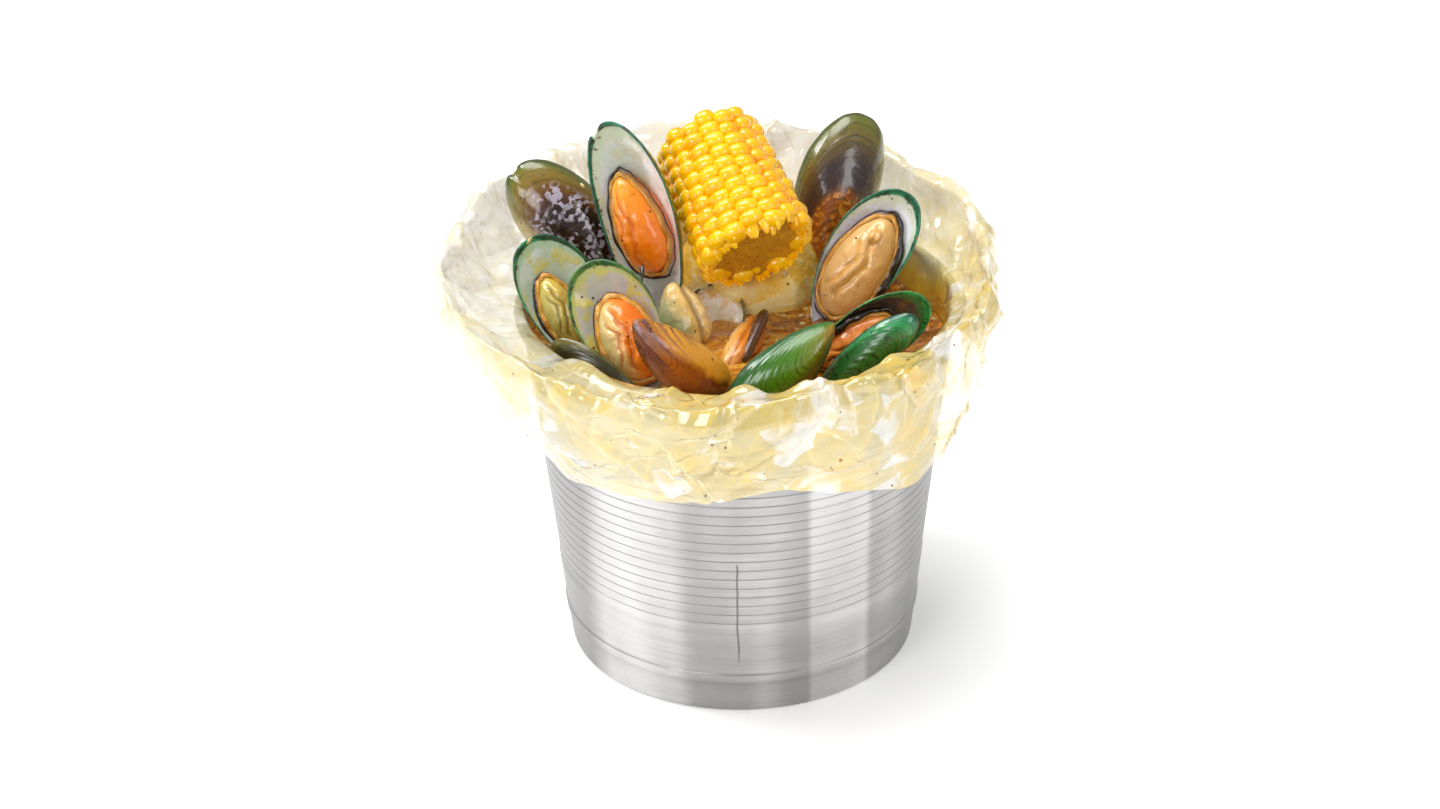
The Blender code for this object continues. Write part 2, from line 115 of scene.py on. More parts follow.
class Finish(Tree):  # one material
    def __init__(self, name, **fixed):
        self.material = bpy.data.materials.new(name)
        self.material.use_nodes = True
        super().__init__(self.material.node_tree)
        self.shader = self.nodeTree.nodes["Principled BSDF"]
        self.feed(**fixed)
        self.where = self.get("ShaderNodeTexCoord", {}, "Object")

    def feed(self, **values):
        for key, value in values.items():
            self.plug(self.shader.inputs[inputOf[key]], value)
        return self.material

    def stretched(self, scale):
        return self.get("ShaderNodeMapping", {"Vector": self.where, "Scale": scale})

    def axes(self):
        split = self.node("ShaderNodeSeparateXYZ", {0: self.where})
        return [Value(self, split.outputs[k]) for k in range(3)]

    def noise(self, size, detail=3.0, rough=0.55, twist=0.0, where=None):
        sockets = {"Vector": where or self.where, "Scale": 1 / (size * mm), "Detail": detail}
        return self.get("ShaderNodeTexNoise", {**sockets, "Roughness": rough, "Distortion": twist})

    def shards(self, size, bend):  # many-cornered patches, each with its own tone, 0 to 1
        sockets = {"Vector": self.where, "Scale": 0.4 / (size * mm), "Detail": 1.0}
        warp = self.get("ShaderNodeTexNoise", sockets, "Color")
        bent = {0: warp, 1: (bend * size * mm,) * 3, 2: self.where}
        moved = self.get("ShaderNodeVectorMath", bent, operation="MULTIPLY_ADD")
        return self.get("ShaderNodeTexVoronoi", {"Vector": moved, "Scale": 1 / (size * mm)}, "Color")

    def mark(self, name):  # a number that the mesh carries at each point
        return self.get("ShaderNodeAttribute", {}, "Fac", attribute_name=name)

    def step(self, value, low, high):
        sockets = {"Value": value, "From Min": low, "From Max": high}
        return self.get("ShaderNodeMapRange", sockets, interpolation_type="SMOOTHSTEP")

    def ramp(self, value, stops):
        made = self.node("ShaderNodeValToRGB", {0: value})
        elements = made.color_ramp.elements
        while len(elements) < len(stops):
            elements.new(0.5)
        for element, (position, color) in zip(elements, stops):
            element.position = position
            element.color = rgb(color)
        return Value(self, made.outputs[0])

    def mix(self, factor, first, second):
        first, second = (rgb(color) if isinstance(color, str) else color for color in (first, second))
        return self.get("ShaderNodeMix", {0: factor, 6: first, 7: second}, 2, data_type="RGBA")

    def bump(self, height, depth, strength=1.0):
        return self.get("ShaderNodeBump", {"Height": height, "Distance": depth * mm, "Strength": strength})


# mesh helpers

def circle(count):
    return np.linspace(0, 2 * pi, count, endpoint=False)


def hill(value):  # 1 at nought, falling away to both sides
    return np.exp(-(value**2))


def awayFrom(middle, turn):  # how far each turn is from a middle, in degrees
    return (np.degrees(turn) - middle + 180) % 360 - 180


def smoothStep(low, high, value):
    t = np.clip((value - low) / (high - low), 0, 1)
    return t * t * (3 - 2 * t)


def noiseAt(points, size, shift=0.0):  # smooth noise at each point, from about -1 to 1
    flat = np.asarray(points, float).reshape(-1, 3) / size + shift
    return np.array([noise.noise(p) for p in flat.tolist()]).reshape(np.shape(points)[:-1])


def facets(u, v, seed, around, rows=64):  # flat three-cornered facets with heights drawn at random, 0 to 1
    table = np.random.default_rng(seed).random((rows, around))
    i, j = np.floor(u).astype(int), np.floor(v).astype(int)
    x, y = u - i, v - j
    a, b, c, d = (table[(j + up) % rows, (i + aside) % around] for up in (0, 1) for aside in (0, 1))
    return np.where(x + y < 1, a + (b - a) * x + (c - a) * y, d + (c - d) * (1 - x) + (b - d) * (1 - y))


def gridNormals(grid):  # unit normals of rings of points, shape (rings, points, 3)
    across = np.roll(grid, -1, axis=1) - np.roll(grid, 1, axis=1)
    normals = np.cross(across, np.gradient(grid, axis=0))
    return normals / np.maximum(np.linalg.norm(normals, axis=2, keepdims=True), 1e-9)


def ringFaces(rings, count, start, looped):
    rows = np.arange(rings if looped else rings - 1)
    below = (rows * count + start)[:, None]
    above = ((rows + 1) % rings * count + start)[:, None]
    i = np.arange(count)[None, :]
    j = (i + 1) % count
    return np.stack([below + i, below + j, above + j, above + i], axis=-1).reshape(-1, 4).tolist()


def addObject(name, data):
    piece = bpy.data.objects.new(name, data)
    bpy.context.scene.collection.objects.link(piece)
    return piece


class Skin:  # gathers ringed shapes into one mesh
    def __init__(self, *marks):
        self.points = []
        self.faces = []
        self.finishOf = []
        self.marks = {name: [] for name in marks}

    def add(self, rings, ends="poles", finish=0, **marks):
        rings = np.asarray(rings, float)
        count, start = rings.shape[1], len(self.points)
        points = list(rings.reshape(-1, 3))
        faces = ringFaces(len(rings), count, start, ends == "loop")
        poles = {"poles": (0, -1), "start": (0,)}.get(ends, ())
        for side in poles:
            centre = start + len(points)
            points.append(rings[side].mean(axis=0))
            first = start if side == 0 else start + (len(rings) - 1) * count
            faces += [[centre, first + i, first + (i + 1) % count] for i in range(count)]
        for name, values in self.marks.items():
            given = np.broadcast_to(marks.get(name, 0.0), rings.shape[:2])
            values += list(given.reshape(-1)) + [given[side].mean() for side in poles]
        self.points += points
        self.faces += faces
        self.finishOf += [finish] * len(faces)

    def make(self, name, finishes, place=None, outward=True):
        mesh = bpy.data.meshes.new(name)
        mesh.from_pydata(np.array(self.points) * mm, [], self.faces)
        mesh.polygons.foreach_set("material_index", self.finishOf)
        for material in finishes:
            mesh.materials.append(material)
        for mark, values in self.marks.items():
            made = mesh.attributes.new(mark, "FLOAT", "POINT")
            made.data.foreach_set("value", np.array(values, np.float32))
        if place is not None:
            mesh.transform(place)
        if outward:
            work = bmesh.new()
            work.from_mesh(mesh)
            bmesh.ops.recalc_face_normals(work, faces=work.faces)
            work.to_mesh(mesh)
            work.free()
        mesh.shade_smooth()
        return addObject(name, mesh)


def declare(piece, slotName, *nodes):
    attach(piece, "root")
    if nodes:
        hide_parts(*nodes)
    return piece


def tubeRings(path, radii, sides):  # rings round a line of points
    path = np.asarray(path, float)
    along = np.gradient(path, axis=0)
    along /= np.linalg.norm(along, axis=1, keepdims=True)
    side = np.cross(along, (0.21, 0.13, 0.97))
    side /= np.linalg.norm(side, axis=1, keepdims=True)
    up = np.cross(side, along)
    turn = circle(sides)
    out = side[:, None] * np.cos(turn)[None, :, None] + up[:, None] * np.sin(turn)[None, :, None]
    return path[:, None] + out * np.broadcast_to(radii, len(path))[:, None, None]


# pail

panLow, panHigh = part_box("pan")
pail = {
    "height": panHigh.z / mm, "beadOut": 2.4, "beadDepth": 5.0, "baseRadius": 81.7, "wall": 1.5, "floor": 1.8,
    "bandLow": 15.4, "bandHigh": 21.3, "bandOut": 0.6, "turnedFrom": 44.4, "turnedIn": 0.45, "sides": 240,
    "lineStep": 4.95, "lineDepth": 0.22, "lineHalf": 0.32, "bright": "d4d3d2", "dull": "9a9999",
    "lineColor": "69696c", "scratchX": -2.6, "scratchLow": 24, "scratchHigh": 84, "scratchHalf": 0.8,
    "reflectionStrips": ((30, 57, 2), (-68, -26, 7)),  # painted reflections: brighter strips across the front, from, to and softness
}
pail["rimRadius"] = (panHigh.x - panLow.x) / 2 / mm - pail["beadOut"]


def pailRadius(z):
    return pail["baseRadius"] + (pail["rimRadius"] - pail["baseRadius"]) * z / pail["height"]


def metalFinish():
    m, d = Finish("turnedMetal", metal=1.0), pail
    streaks = m.noise(60, 4, 0.6, 0.0, m.stretched((1, 1, 34)))
    fine = m.noise(9, 3, 0.7, 0.0, m.stretched((1, 1, 60)))
    # vertical bands of tone: uneven polish, and partly painted reflection bands
    bands = m.noise(44, 2, 0.5, 0.0, m.stretched((1, 1, 0.12)))
    clouds = m.noise(22, 4, 0.6)
    x, y, z = m.axes()
    tone = bands * 0.8 + streaks * 0.3 + fine * 0.2 + clouds * 0.25 - 0.45
    # painted reflection: brighter strips of tone across the front
    for low, high, soft in d["reflectionStrips"]:
        rising = m.step(x, (low - soft) * mm, (low + soft) * mm)
        tone = tone + 0.3 * rising * m.step(x, (high + soft) * mm, (high - soft) * mm)
    # painted shade and reflection: the tone darkens towards the pail's left and right sides (large x)
    sides = m.step(m.maths("ABSOLUTE", x), 66 * mm, 82 * mm)
    color = m.mix(m.step(tone - 0.05 * m.mark("plain") - 0.22 * sides, 0.15, 0.8), d["dull"], d["bright"])
    wander = (m.noise(16, 2) - 0.5) * (2.0 * mm)
    offLine = m.maths("ABSOLUTE", x + wander - d["scratchX"] * mm)
    scratch = m.step(offLine, d["scratchHalf"] * mm, 0.1 * mm) * (y < 0.0)
    for end, fade in ((d["scratchLow"], 12), (d["scratchHigh"], -2)):
        scratch = scratch * m.step(z, end * mm, (end + fade) * mm)
    dark = m.maths("MAXIMUM", m.mark("groove") * m.step(clouds + streaks, 0.8, 1.2) * 0.5, scratch * 0.85)
    rough = 0.27 + 0.16 * streaks + 0.12 * clouds + 0.1 * dark
    return m.feed(color=m.mix(dark, color, d["lineColor"]), rough=rough, normal=m.bump(fine + streaks, 0.05))


def makePail():
    d, height = pail, pail["height"]
    rise = [(d["baseRadius"] - 1.2, 0.0), (d["baseRadius"] - 0.6, 0.15), (pailRadius(0.7) - 0.15, 0.6),
            (pailRadius(1.5), 1.6), (pailRadius(8), 8)]
    band = [(d["bandLow"] + up, out) for up, out in ((0, 0.0), (0.3, 0.35), (0.8, 1.0))]
    band += [(d["bandHigh"] - up, out) for up, out in ((0.8, 1.0), (0.3, 0.35), (0, 0.0))]
    rise += [(pailRadius(z) + d["bandOut"] * out, z) for z, out in band]
    rise += [(pailRadius(z), z) for z in (27, 33, 39, d["turnedFrom"])]
    rise.append((pailRadius(45) - 0.3, d["turnedFrom"] + 0.5))
    groove = [0.0] * len(rise)
    lineZ = d["turnedFrom"] + 5.4
    while lineZ < height - d["beadDepth"] - 3:
        for step, deep in ((-1.6, 0), (-1, 0), (-0.35, 1), (0.35, 1), (1, 0), (1.6, 0)):
            z = lineZ + step * d["lineHalf"]
            rise.append((pailRadius(z) - d["turnedIn"] - d["lineDepth"] * deep, z))
            groove.append(deep)
        lineZ += d["lineStep"]
    foot = height - d["beadDepth"]
    rise.append((pailRadius(foot) - d["turnedIn"], foot))
    for angle in np.linspace(-0.5 * pi, 0.85 * pi, 9):  # the rolled bead at the rim
        out = d["beadOut"] * (0.05 + 0.95 * cos(angle))
        rise.append((d["rimRadius"] + out, height - 2.5 + 2.5 * sin(angle)))
    inner = d["rimRadius"] - d["wall"]
    rise += [(inner, height - 0.6), (inner - 1, height - 9)]
    rise += [(pailRadius(z) - d["wall"], z) for z in (40, d["floor"])]
    groove += [0.0] * (len(rise) - len(groove))
    rings = np.array([[(r * cos(a), r * sin(a), z) for a in circle(d["sides"])] for r, z in rise])
    skin = Skin("groove", "plain")
    skin.add(rings, groove=np.array(groove)[:, None], plain=(rings[..., 2] < d["turnedFrom"] + 0.1) * 1.0)
    declare(skin.make("pailWall", [metalFinish()]), "metal", "pan")


makePail()
print("pail made")


# film bag

film = {
    "skin": 0.8, "gap": 0.35, "around": 620, "hiddenSteps": 8, "steps": 132,
    "flareRadius": 125.0, "flareShift": -9.0, "flareHeight": 194.0, "flareRise": 13.0,
    "hemRadius": 103.0, "hemShift": 8.0, "hemHeight": 123.0, "hemTilt": 12.0,
    "cornerAngle": -50.0, "cornerSpread": 16.0, "cornerDrop": 14.0, "pleat": 1.0, "lump": 3.5,
    "facets": ((19, 30.0, 5.0), (43, 13.0, 2.8), (101, 6.0, 1.1)),  # how many around, height, relief
    "folds": 380, "foldSeed": 8, "foldReach": (7.0, 34.0), "foldWidth": (2.0, 8.0), "foldDepth": (0.5, 2.1),
    "standing": ((-152, 7, 4.0), (-131, 8, 6.0), (-108, 6, 4.5), (-89, 5, 6.5), (-74, 6, 5.5),
                 (-50, 8, 4.0), (-30, 6, 3.0)),  # the film's peaks at the front: angle, spread, height
    "tones": [(0.0, "e6e3d6"), (0.35, "e8da9c"), (0.66, "e2c048"), (0.88, "ce9016"),
              (1.0, "786828")],
    "yellow": "e2c048", "gold": "ce9016", "white": "fdfcf8", "shade": "c6b678",
}


def bagLine(angle):  # the film's line at each angle, from the foot of the wall to the hem
    d, height, rim = film, pail["height"], pail["rimRadius"]
    c, s, one = np.cos(angle), np.sin(angle), np.ones_like(angle)
    offWall = pail["wall"] + d["gap"] + d["skin"] / 2
    foot = pail["floor"] + d["gap"] + d["skin"] / 2
    flare, top = d["flareRadius"] + d["flareShift"] * c, d["flareHeight"] + d["flareRise"] * s
    corner = hill(awayFrom(d["cornerAngle"], angle) / d["cornerSpread"])
    hem = d["hemHeight"] + d["hemTilt"] * c - d["cornerDrop"] * corner
    hemRadius = d["hemRadius"] + d["hemShift"] * c + 2 * corner
    line = [(r * one, z * one) for r, z in (
        (pailRadius(foot) - offWall, foot), (pailRadius(height - 4) - offWall, height - 4),
        (rim - offWall + 0.2, height + 0.9), (rim + 3.5, height + 2.4))]
    line += [((1 - out) * rim + out * flare, height + up * (top - height) + 1)
             for out, up in ((0.38, 0.24), (0.7, 0.62))]
    line += [(flare - 4.5, top - 2.6), (flare, top), (flare + 2.2, top - 6)]
    line += [((1 - back) * flare + back * hemRadius, top - down * (top - hem))
             for back, down in ((0.08, 0.3), (0.38, 0.55), (0.78, 0.8))]
    return np.array(line + [(hemRadius, hem)]).transpose(0, 2, 1)


def throughPoints(line, steps):  # a smooth curve through a list of points, read at fractional steps
    gaps = np.linalg.norm(np.diff(line, axis=0), axis=2).mean(axis=1)[:, None, None]
    slopes = np.diff(line, axis=0) / gaps
    turned = (gaps[:-1] * slopes[1:] + gaps[1:] * slopes[:-1]) / (gaps[:-1] + gaps[1:])
    slopes = np.concatenate([slopes[:1], turned, slopes[-1:]])
    i = np.clip(np.floor(steps).astype(int), 0, len(line) - 2)
    t = (steps - i)[:, None, None]
    held = 1 - t * t * (3 - 2 * t)
    leaving, arriving = slopes[i] * gaps[i] * t * (1 - t) ** 2, slopes[i + 1] * gaps[i] * t * t * (1 - t)
    return held * line[i] + (1 - held) * line[i + 1] + leaving - arriving


def filmFinish():
    # painted light: the film glows faintly in its own colour
    m, d = Finish("clearFilm", ior=1.9, coat=1.0, coatRough=0.04, glow=0.04), film
    stain, ridge, valley = m.mark("stain"), m.mark("ridge"), m.mark("valley")
    clouds = m.noise(34, 4, 0.6, 0.6)
    patches = m.noise(11, 4, 0.65, 1.2)
    drops = m.step(m.noise(4.2, 2), 0.70, 0.76)
    warmth = stain * 0.8 + clouds * 0.75 + patches * 0.35 - 0.55
    color = m.ramp(warmth, d["tones"])
    color = m.mix(valley * (0.3 + 0.7 * m.step(clouds, 0.35, 0.6)) * 0.85, color, d["yellow"])
    color = m.mix(drops * m.step(clouds, 0.4, 0.6) * 0.8, color, d["gold"])
    # painted highlights: white glint patches, and white along the raised creases (ridge)
    shine = m.step(m.shards(15.0, 0.9) * 0.8 + patches * 0.4, 0.66, 0.78) * m.step(clouds, 0.60, 0.46)
    shine = shine * m.step(stain, 0.95, 0.7)
    color = m.mix(m.maths("MAXIMUM", ridge * 0.3, shine * 0.8), color, d["white"])
    # painted shade: darker patches on some facets, as if turned from the light
    shadedFacets = m.step(m.shards(10.0, 0.8), 0.42, 0.32) * m.step(clouds, 0.4, 0.55)
    color = m.mix(shadedFacets * 0.3, color, d["shade"])
    creases = m.maths("MAXIMUM", ridge, valley * 0.9)
    alpha = 0.42 + 0.3 * creases + 0.35 * m.step(warmth, 0.25, 0.8) + 0.2 * patches
    normal = m.bump(m.noise(7.0, 2, 0.4, 1.5), 0.25, 0.6)
    return m.feed(color=color, glowColor=color, alpha=alpha, rough=0.05 + 0.08 * patches, normal=normal)


def foldLines(angle, length):  # straight creases in the film: their relief, and where they are raised or sunk
    d, rng = film, np.random.default_rng(film["foldSeed"])
    relief, raised, sunk = np.zeros((3, length.shape[0], angle.shape[1]))
    for _ in range(d["folds"]):
        middle, at = rng.uniform(0, 2 * pi), rng.uniform(length[d["hiddenSteps"], 0], length[-1, 0])
        heading, reach = rng.normal(0, 0.75), rng.uniform(*d["foldReach"])
        width, depth = rng.uniform(*d["foldWidth"]), rng.uniform(*d["foldDepth"]) * rng.choice((-1, 1))
        bend, steep = rng.normal(0, 0.003), rng.uniform(0.5, 1.0)
        around = ((angle - middle + pi) % (2 * pi) - pi) * 112
        near = np.nonzero(np.abs(around[0]) < reach + width)[0]
        aside, ahead = around[:, near], length - at
        along = aside * sin(heading) + ahead * cos(heading)
        off = aside * cos(heading) - ahead * sin(heading) + bend * along**2
        fade = smoothStep(reach, reach * 0.55, np.abs(along))
        slope = np.where(off > 0, width, width * steep)
        relief[:, near] += depth * fade * np.maximum(0, 1 - np.abs(off) / slope)
        marked = raised if depth > 0 else sunk
        marked[:, near] = np.maximum(marked[:, near], fade * hill(off / 0.6) * min(1.0, abs(depth) / 1.6))
    return relief, raised, sunk


def makeFilm():
    d, angle = film, circle(film["around"])
    steps = np.concatenate([np.linspace(0, 0.95, d["hiddenSteps"]), np.linspace(1, 12, d["steps"])])
    line = throughPoints(bagLine(angle), steps)
    down = steps[:, None]
    free = smoothStep(2.5, 6.0, down)
    pleats = d["pleat"] * (np.sin(9 * angle + 0.5 * down + 0.5) + 0.8 * np.sin(14 * angle - 0.9 * down + 1.1))
    where = [2.6 * np.cos(angle) + 0 * down, 2.6 * np.sin(angle) + 0 * down, 0.45 * down + 0.45 + 0 * angle]
    lump = d["lump"] * noiseAt(np.stack(where, -1), 1.0)
    radius = line[..., 0] + free * (pleats + lump)
    height = line[..., 1] + free * (pleats - lump)
    grid = np.stack([radius * np.cos(angle), radius * np.sin(angle), height], -1)
    run = np.linalg.norm(np.diff(line.mean(axis=1), axis=0), axis=1)
    length = np.concatenate([[0.0], np.cumsum(run)])[:, None]
    warpU, warpV = noiseAt(grid, 46.0), noiseAt(grid, 33.0, 7.0)
    calm = 0.4 + 0.6 * smoothStep(-0.35, 0.3, noiseAt(grid, 52.0, 3.0))
    loose = (0.1 + 0.9 * smoothStep(2.0, 4.0, down)) * calm
    relief, raised, sunk = foldLines(angle[None, :], length)
    for seed, (around, tall, deep) in enumerate(d["facets"]):
        u = angle / (2 * pi) * around + 0.9 * warpU
        relief += deep * (facets(u, length / tall + 0.9 * warpV, seed + 5, around) - 0.5)
    lined = smoothStep(148, 157, grid[..., 2]) * smoothStep(2.2, 1.0, down)
    relief = relief * loose - 0.75 * lined * np.abs(relief) * (1 - loose)  # above the sauce only inwards
    grid += gridNormals(grid) * relief[..., None]
    standing = sum(rise * hill(awayFrom(middle, angle) / spread) for middle, spread, rise in d["standing"])
    standing = standing * hill((down - 3.4) / 0.9)
    grid[..., 2] += standing
    grid[..., :2] *= 1 - 0.45 * standing[..., None] / np.maximum(radius, 1)[..., None]
    level = smoothStep(176, 152, grid[..., 2]) * (down < 5)
    frontRight = smoothStep(-0.6, 1.0, 0.55 * np.cos(angle) - 0.75 * np.sin(angle))
    backLeft = smoothStep(0.1, 1.0, -0.6 * np.cos(angle) + 0.75 * np.sin(angle))
    stain = 0.3 + 0.38 * frontRight - 0.14 * backLeft + 0.7 * level
    skin = Skin("stain", "ridge", "valley", "speckled")
    skin.add(grid, ends="start", stain=stain, ridge=raised * calm, valley=sunk * calm,
             speckled=(down > 3.5) * (0.4 + frontRight))
    piece = skin.make("filmBag", [filmFinish()], outward=False)
    return declare(piece, "film", "bag_liner", "bag_flare", "bag_skirt")


bag = makeFilm()
print("film bag made")


# sauce

sauce = {
    "level": 150.0, "rings": 90, "around": 300, "ripple": 0.9, "wave": 1.2, "beads": 2.2, "gold": "f2b83e",
    "tones": [(0.2, "2e1402"), (0.45, "703a08"), (0.62, "bc7210"), (0.82, "f2b83e")],
}


def sauceFinish():
    m, d = Finish("brownSauce", coat=0.8, coatRough=0.04, ior=1.42), sauce
    swirl = m.noise(15, 5, 0.65, 1.8)
    fine = m.noise(3.4, 4, 0.7, 1.0)
    sockets = {"Vector": m.where, "Scale": 1 / (d["beads"] * mm)}
    beads = m.get("ShaderNodeTexVoronoi", sockets, "Distance", feature="SMOOTH_F1")
    bead = m.step(beads, 0.34, 0.2) * m.step(swirl, 0.5, 0.62)
    color = m.ramp(swirl * 0.95 + fine * 0.5 - 0.24 + m.mark("light") * 0.2, d["tones"])
    normal = m.bump(fine * 0.5 + swirl * 0.5 + bead * 0.4, 0.9)
    return m.feed(color=m.mix(bead * 0.5, color, d["gold"]), rough=0.08 + 0.14 * fine, normal=normal)


def makeSauce():
    d, turn = sauce, circle(sauce["around"])
    inset = pail["wall"] + 2 * film["gap"] + film["skin"] - 0.3
    edge = pailRadius(d["level"]) - inset
    shares = np.linspace(1, 0.012, d["rings"])
    flat = [np.outer(shares, np.cos(turn)), np.outer(shares, np.sin(turn)), np.ones((len(shares), len(turn)))]
    grid = np.stack(flat, -1) * (edge, edge, d["level"])
    grid[..., 2] += d["wave"] * noiseAt(grid, 16.0) + d["ripple"] * noiseAt(grid, 5.5, 4.0)
    grid[..., 2] += 1.3 * hill((1 - shares) * edge / 2.2)[:, None]
    foot = pail["floor"] + 2 * film["gap"] + film["skin"]
    low = [(pailRadius(z) - inset - 0.6, z) for z in (foot, 60, 120)]
    rings = np.concatenate([[[(r * cos(a), r * sin(a), z) for a in turn] for r, z in low], grid])
    light = np.concatenate([np.zeros((3, len(turn))), smoothStep(75, -10, grid[..., 0])])
    skin = Skin("light", "speckled")
    skin.add(rings, light=light, speckled=(rings[..., 2] > d["level"] - 3) * 1.0)
    return declare(skin.make("saucePool", [sauceFinish()]), "sauce", "sauce")


pool = makeSauce()
print("sauce made")


# mussels: the same places and sizes as the solids

mussels = {  # beak, end, turn in degrees; width, depth and bend as shares of the length; notches in the lip
    "a": ((-34, 6, 145), (-59, 27, 248), 155, 0.37, 0.15, 0.03, (199, 8, 0.03), (206, 4, 0.02)),
    "b": ((-48, 34, 143), (-101.5, 45.5, 219), 15, 0.43, 0.16, -0.03, (174, 6, 0.035), (168, 3, 0.02)),
    "c": ((-65, -23, 146), (-94, 3, 202), 205, 0.54, 0.14, 0.03),
    "dBack": ((-39, -52, 148), (-68, -21, 200), 190, 0.56, 0.16, 0.02),
    "dFront": ((-38, -60, 144), (-83, -42, 171), -15, 0.38, 0.12, 0.0),
    "e": ((-46, -64, 192), (-6, -52, 149), 0, 0.44, 0.17, -0.03),
    "f": ((-12, -2, 143), (-8, 32, 164), 180, 0.66, 0.16, 0.0, (150, 16, 0.10), (215, 12, 0.08)),
    "h": ((42, -49, 182), (-4, -65, 147), 0, 0.46, 0.18, 0.03),
    "iBack": ((28, -34, 147), (84, -36, 186), 180, 0.44, 0.14, 0.0),
    "iFront": ((34, -45, 145), (78, -50, 185), 0, 0.32, 0.15, 0.0),
    "j": ((36, 14, 144), (80, 36, 206), 165, 0.46, 0.15, -0.02),
    "k": ((36, 55, 146), (61, 84, 226), 10, 0.46, 0.18, 0.03),
}
shellForm = {
    "widest": 1.36, "crown": 0.42, "dome": 0.62, "wall": 1.5, "lipWall": 0.5, "ridges": 0.2,
    "around": 150, "outerRings": 40, "innerRings": 26,
}


def frameBetween(start, end, turn):  # X from start to end, Z to the outside of the shell
    start, end = Vector(start), Vector(end)
    along = (end - start).normalized()
    front = Vector((0, -1, 0))
    out = (front - along * front.dot(along)).normalized()
    out = Matrix.Rotation(radians(turn), 3, along) @ out
    place = Matrix((along, out.cross(along), out)).transposed().to_4x4()
    place.translation = start * mm
    return place


def growthAt(x, halfWidth, width):  # how old the shell is at a point: 0 at the beak, 1 at the lip
    low, high = np.clip(x, 1e-4, 1), np.ones_like(x) * 1.3
    for _ in range(26):
        middle = (low + high) / 2
        u = np.clip(x / middle, 0, 1) ** shellForm["widest"]
        outside = np.abs(halfWidth) > middle * width * np.sqrt(np.maximum(u * (1 - u), 0))
        low, high = np.where(outside, middle, low), np.where(outside, high, middle)
    return middle


class Shell:  # one mussel's form, with its length as 1
    def __init__(self, name):
        self.beak, self.end, self.turn, self.width, self.depth, self.bend, *self.notches = mussels[name]
        self.length = (Vector(self.end) - Vector(self.beak)).length
        self.place = frameBetween(self.beak, self.end, self.turn)
        self.shift = len(name) + self.length

    def grid(self, shares):  # rings of one valve's outside, with where each point lies on it
        form, turn = shellForm, circle(shellForm["around"])
        along = ((1 - np.cos(turn)) / 2) ** (1 / form["widest"])
        reach = 1 + 0.003 * np.sin(7 * turn + 1) + 0.0015 * np.sin(17 * turn)
        for centre, spread, deep in self.notches:
            reach -= deep * hill(awayFrom(centre, turn) / spread)
        s = shares[:, None]
        grown = 1 + (reach - 1) * smoothStep(0.75, 1.0, s)
        x = form["crown"] + (along - form["crown"]) * s * grown
        side = np.sin(turn) * s * grown
        flatY = side * 0.5 * self.width
        z = self.depth * (1 - s**2) ** form["dome"] + 0 * x
        return np.stack([x, flatY + self.bend * np.sin(pi * x), z], -1), growthAt(x, flatY, self.width), side

    def outside(self, shares, fade):  # the same with growth rings and a little unevenness
        grid, growth, side = self.grid(shares)
        normals = gridNormals(grid)
        normals *= np.sign(normals[..., 2:3].mean())
        wander = noiseAt(grid * self.length, 17.0, self.shift)
        rings = np.sin(2 * pi * (13 * growth + 0.9 * wander))
        rings += 0.5 * np.sin(2 * pi * (31 * growth + 1.5 * wander))
        rings *= 0.4 * smoothStep(0.2, 0.6, growth) * smoothStep(1.0, 0.9, growth)
        lift = shellForm["ridges"] * (rings + 1.1 * wander) / self.length * fade
        return grid, growth, side, (grid + normals * lift[..., None]) * self.length

    def make(self, skin, node, slotName, finishes):
        return declare(skin.make(node.replace("_", "") + "Shell", finishes, self.place), slotName, node)


def makeValve(name, node, slotName, outside, inside):
    shell, form = Shell(name), shellForm
    shares = np.sin(np.linspace(0.02, pi / 2, form["outerRings"]))
    grid, growth, side, outer = shell.outside(shares, smoothStep(1.0, 0.93, shares)[:, None])
    innerShares = np.sin(np.linspace(pi / 2, 0.03, form["innerRings"]))
    under, innerGrowth, innerSide = shell.grid(innerShares)
    middle = np.array((form["crown"], shell.bend, 0))
    wall = form["wall"] - (form["wall"] - form["lipWall"]) * smoothStep(0.86, 1.0, innerShares)[:, None, None]
    shrink, sink = 1 - 2 * wall / (shell.width * shell.length), 1 - 1.7 / (shell.depth * shell.length)
    inwards = np.concatenate([shrink, shrink, 0 * shrink + sink], -1)
    under = (middle + (under - middle) * inwards) * shell.length
    under[..., 2] += 0.25 * noiseAt(under, 9.0, 2.0)
    under[0, :, 2] -= 0.25  # the lip stands a little proud
    skin = Skin("growth", "side", "along", "speckled")
    along = np.concatenate([grid, under / shell.length])[..., 0]
    inner = np.concatenate([0 * growth, 0 * innerGrowth + 1])
    skin.add(np.concatenate([outer, under]), growth=np.concatenate([growth, innerGrowth]),
             side=np.concatenate([side, innerSide]), along=along, speckled=inner)
    count, outerFaces = form["around"], (form["outerRings"] - 1) * form["around"]
    skin.finishOf = [0 if k < outerFaces else 1 for k in range(len(skin.finishOf))]
    skin.finishOf[-2 * count:-count] = [0] * count
    return shell.make(skin, node, slotName, [outside, inside])


def makeShut(name, slotName):
    shell, form = Shell(name), shellForm
    shares = np.sin(np.linspace(0.02, pi / 2 - 0.02, form["outerRings"]))
    grid, growth, side, upper = shell.outside(shares, 1.0)
    lower = (grid * (1, 1, -1))[::-1] * shell.length
    crack = upper[-1:] * (0.985, 0.985, 0) + (0.008 * shell.length, 0, 0)
    rings = np.concatenate([upper, crack, lower])
    ages, sides = (np.concatenate([mark, mark[-1:], mark[::-1]]) for mark in (growth, side))
    skin = Skin("growth", "side", "along", "speckled")
    skin.add(rings, growth=ages, side=sides, along=rings[..., 0] / shell.length, speckled=ages * 0 + 0.4)
    first, count = (form["outerRings"] - 1) * form["around"], 2 * form["around"]
    skin.finishOf[first:first + count] = [1] * count
    return shell.make(skin, name + "_mussel", slotName, [skinOf[name], skinOf["plain"]])


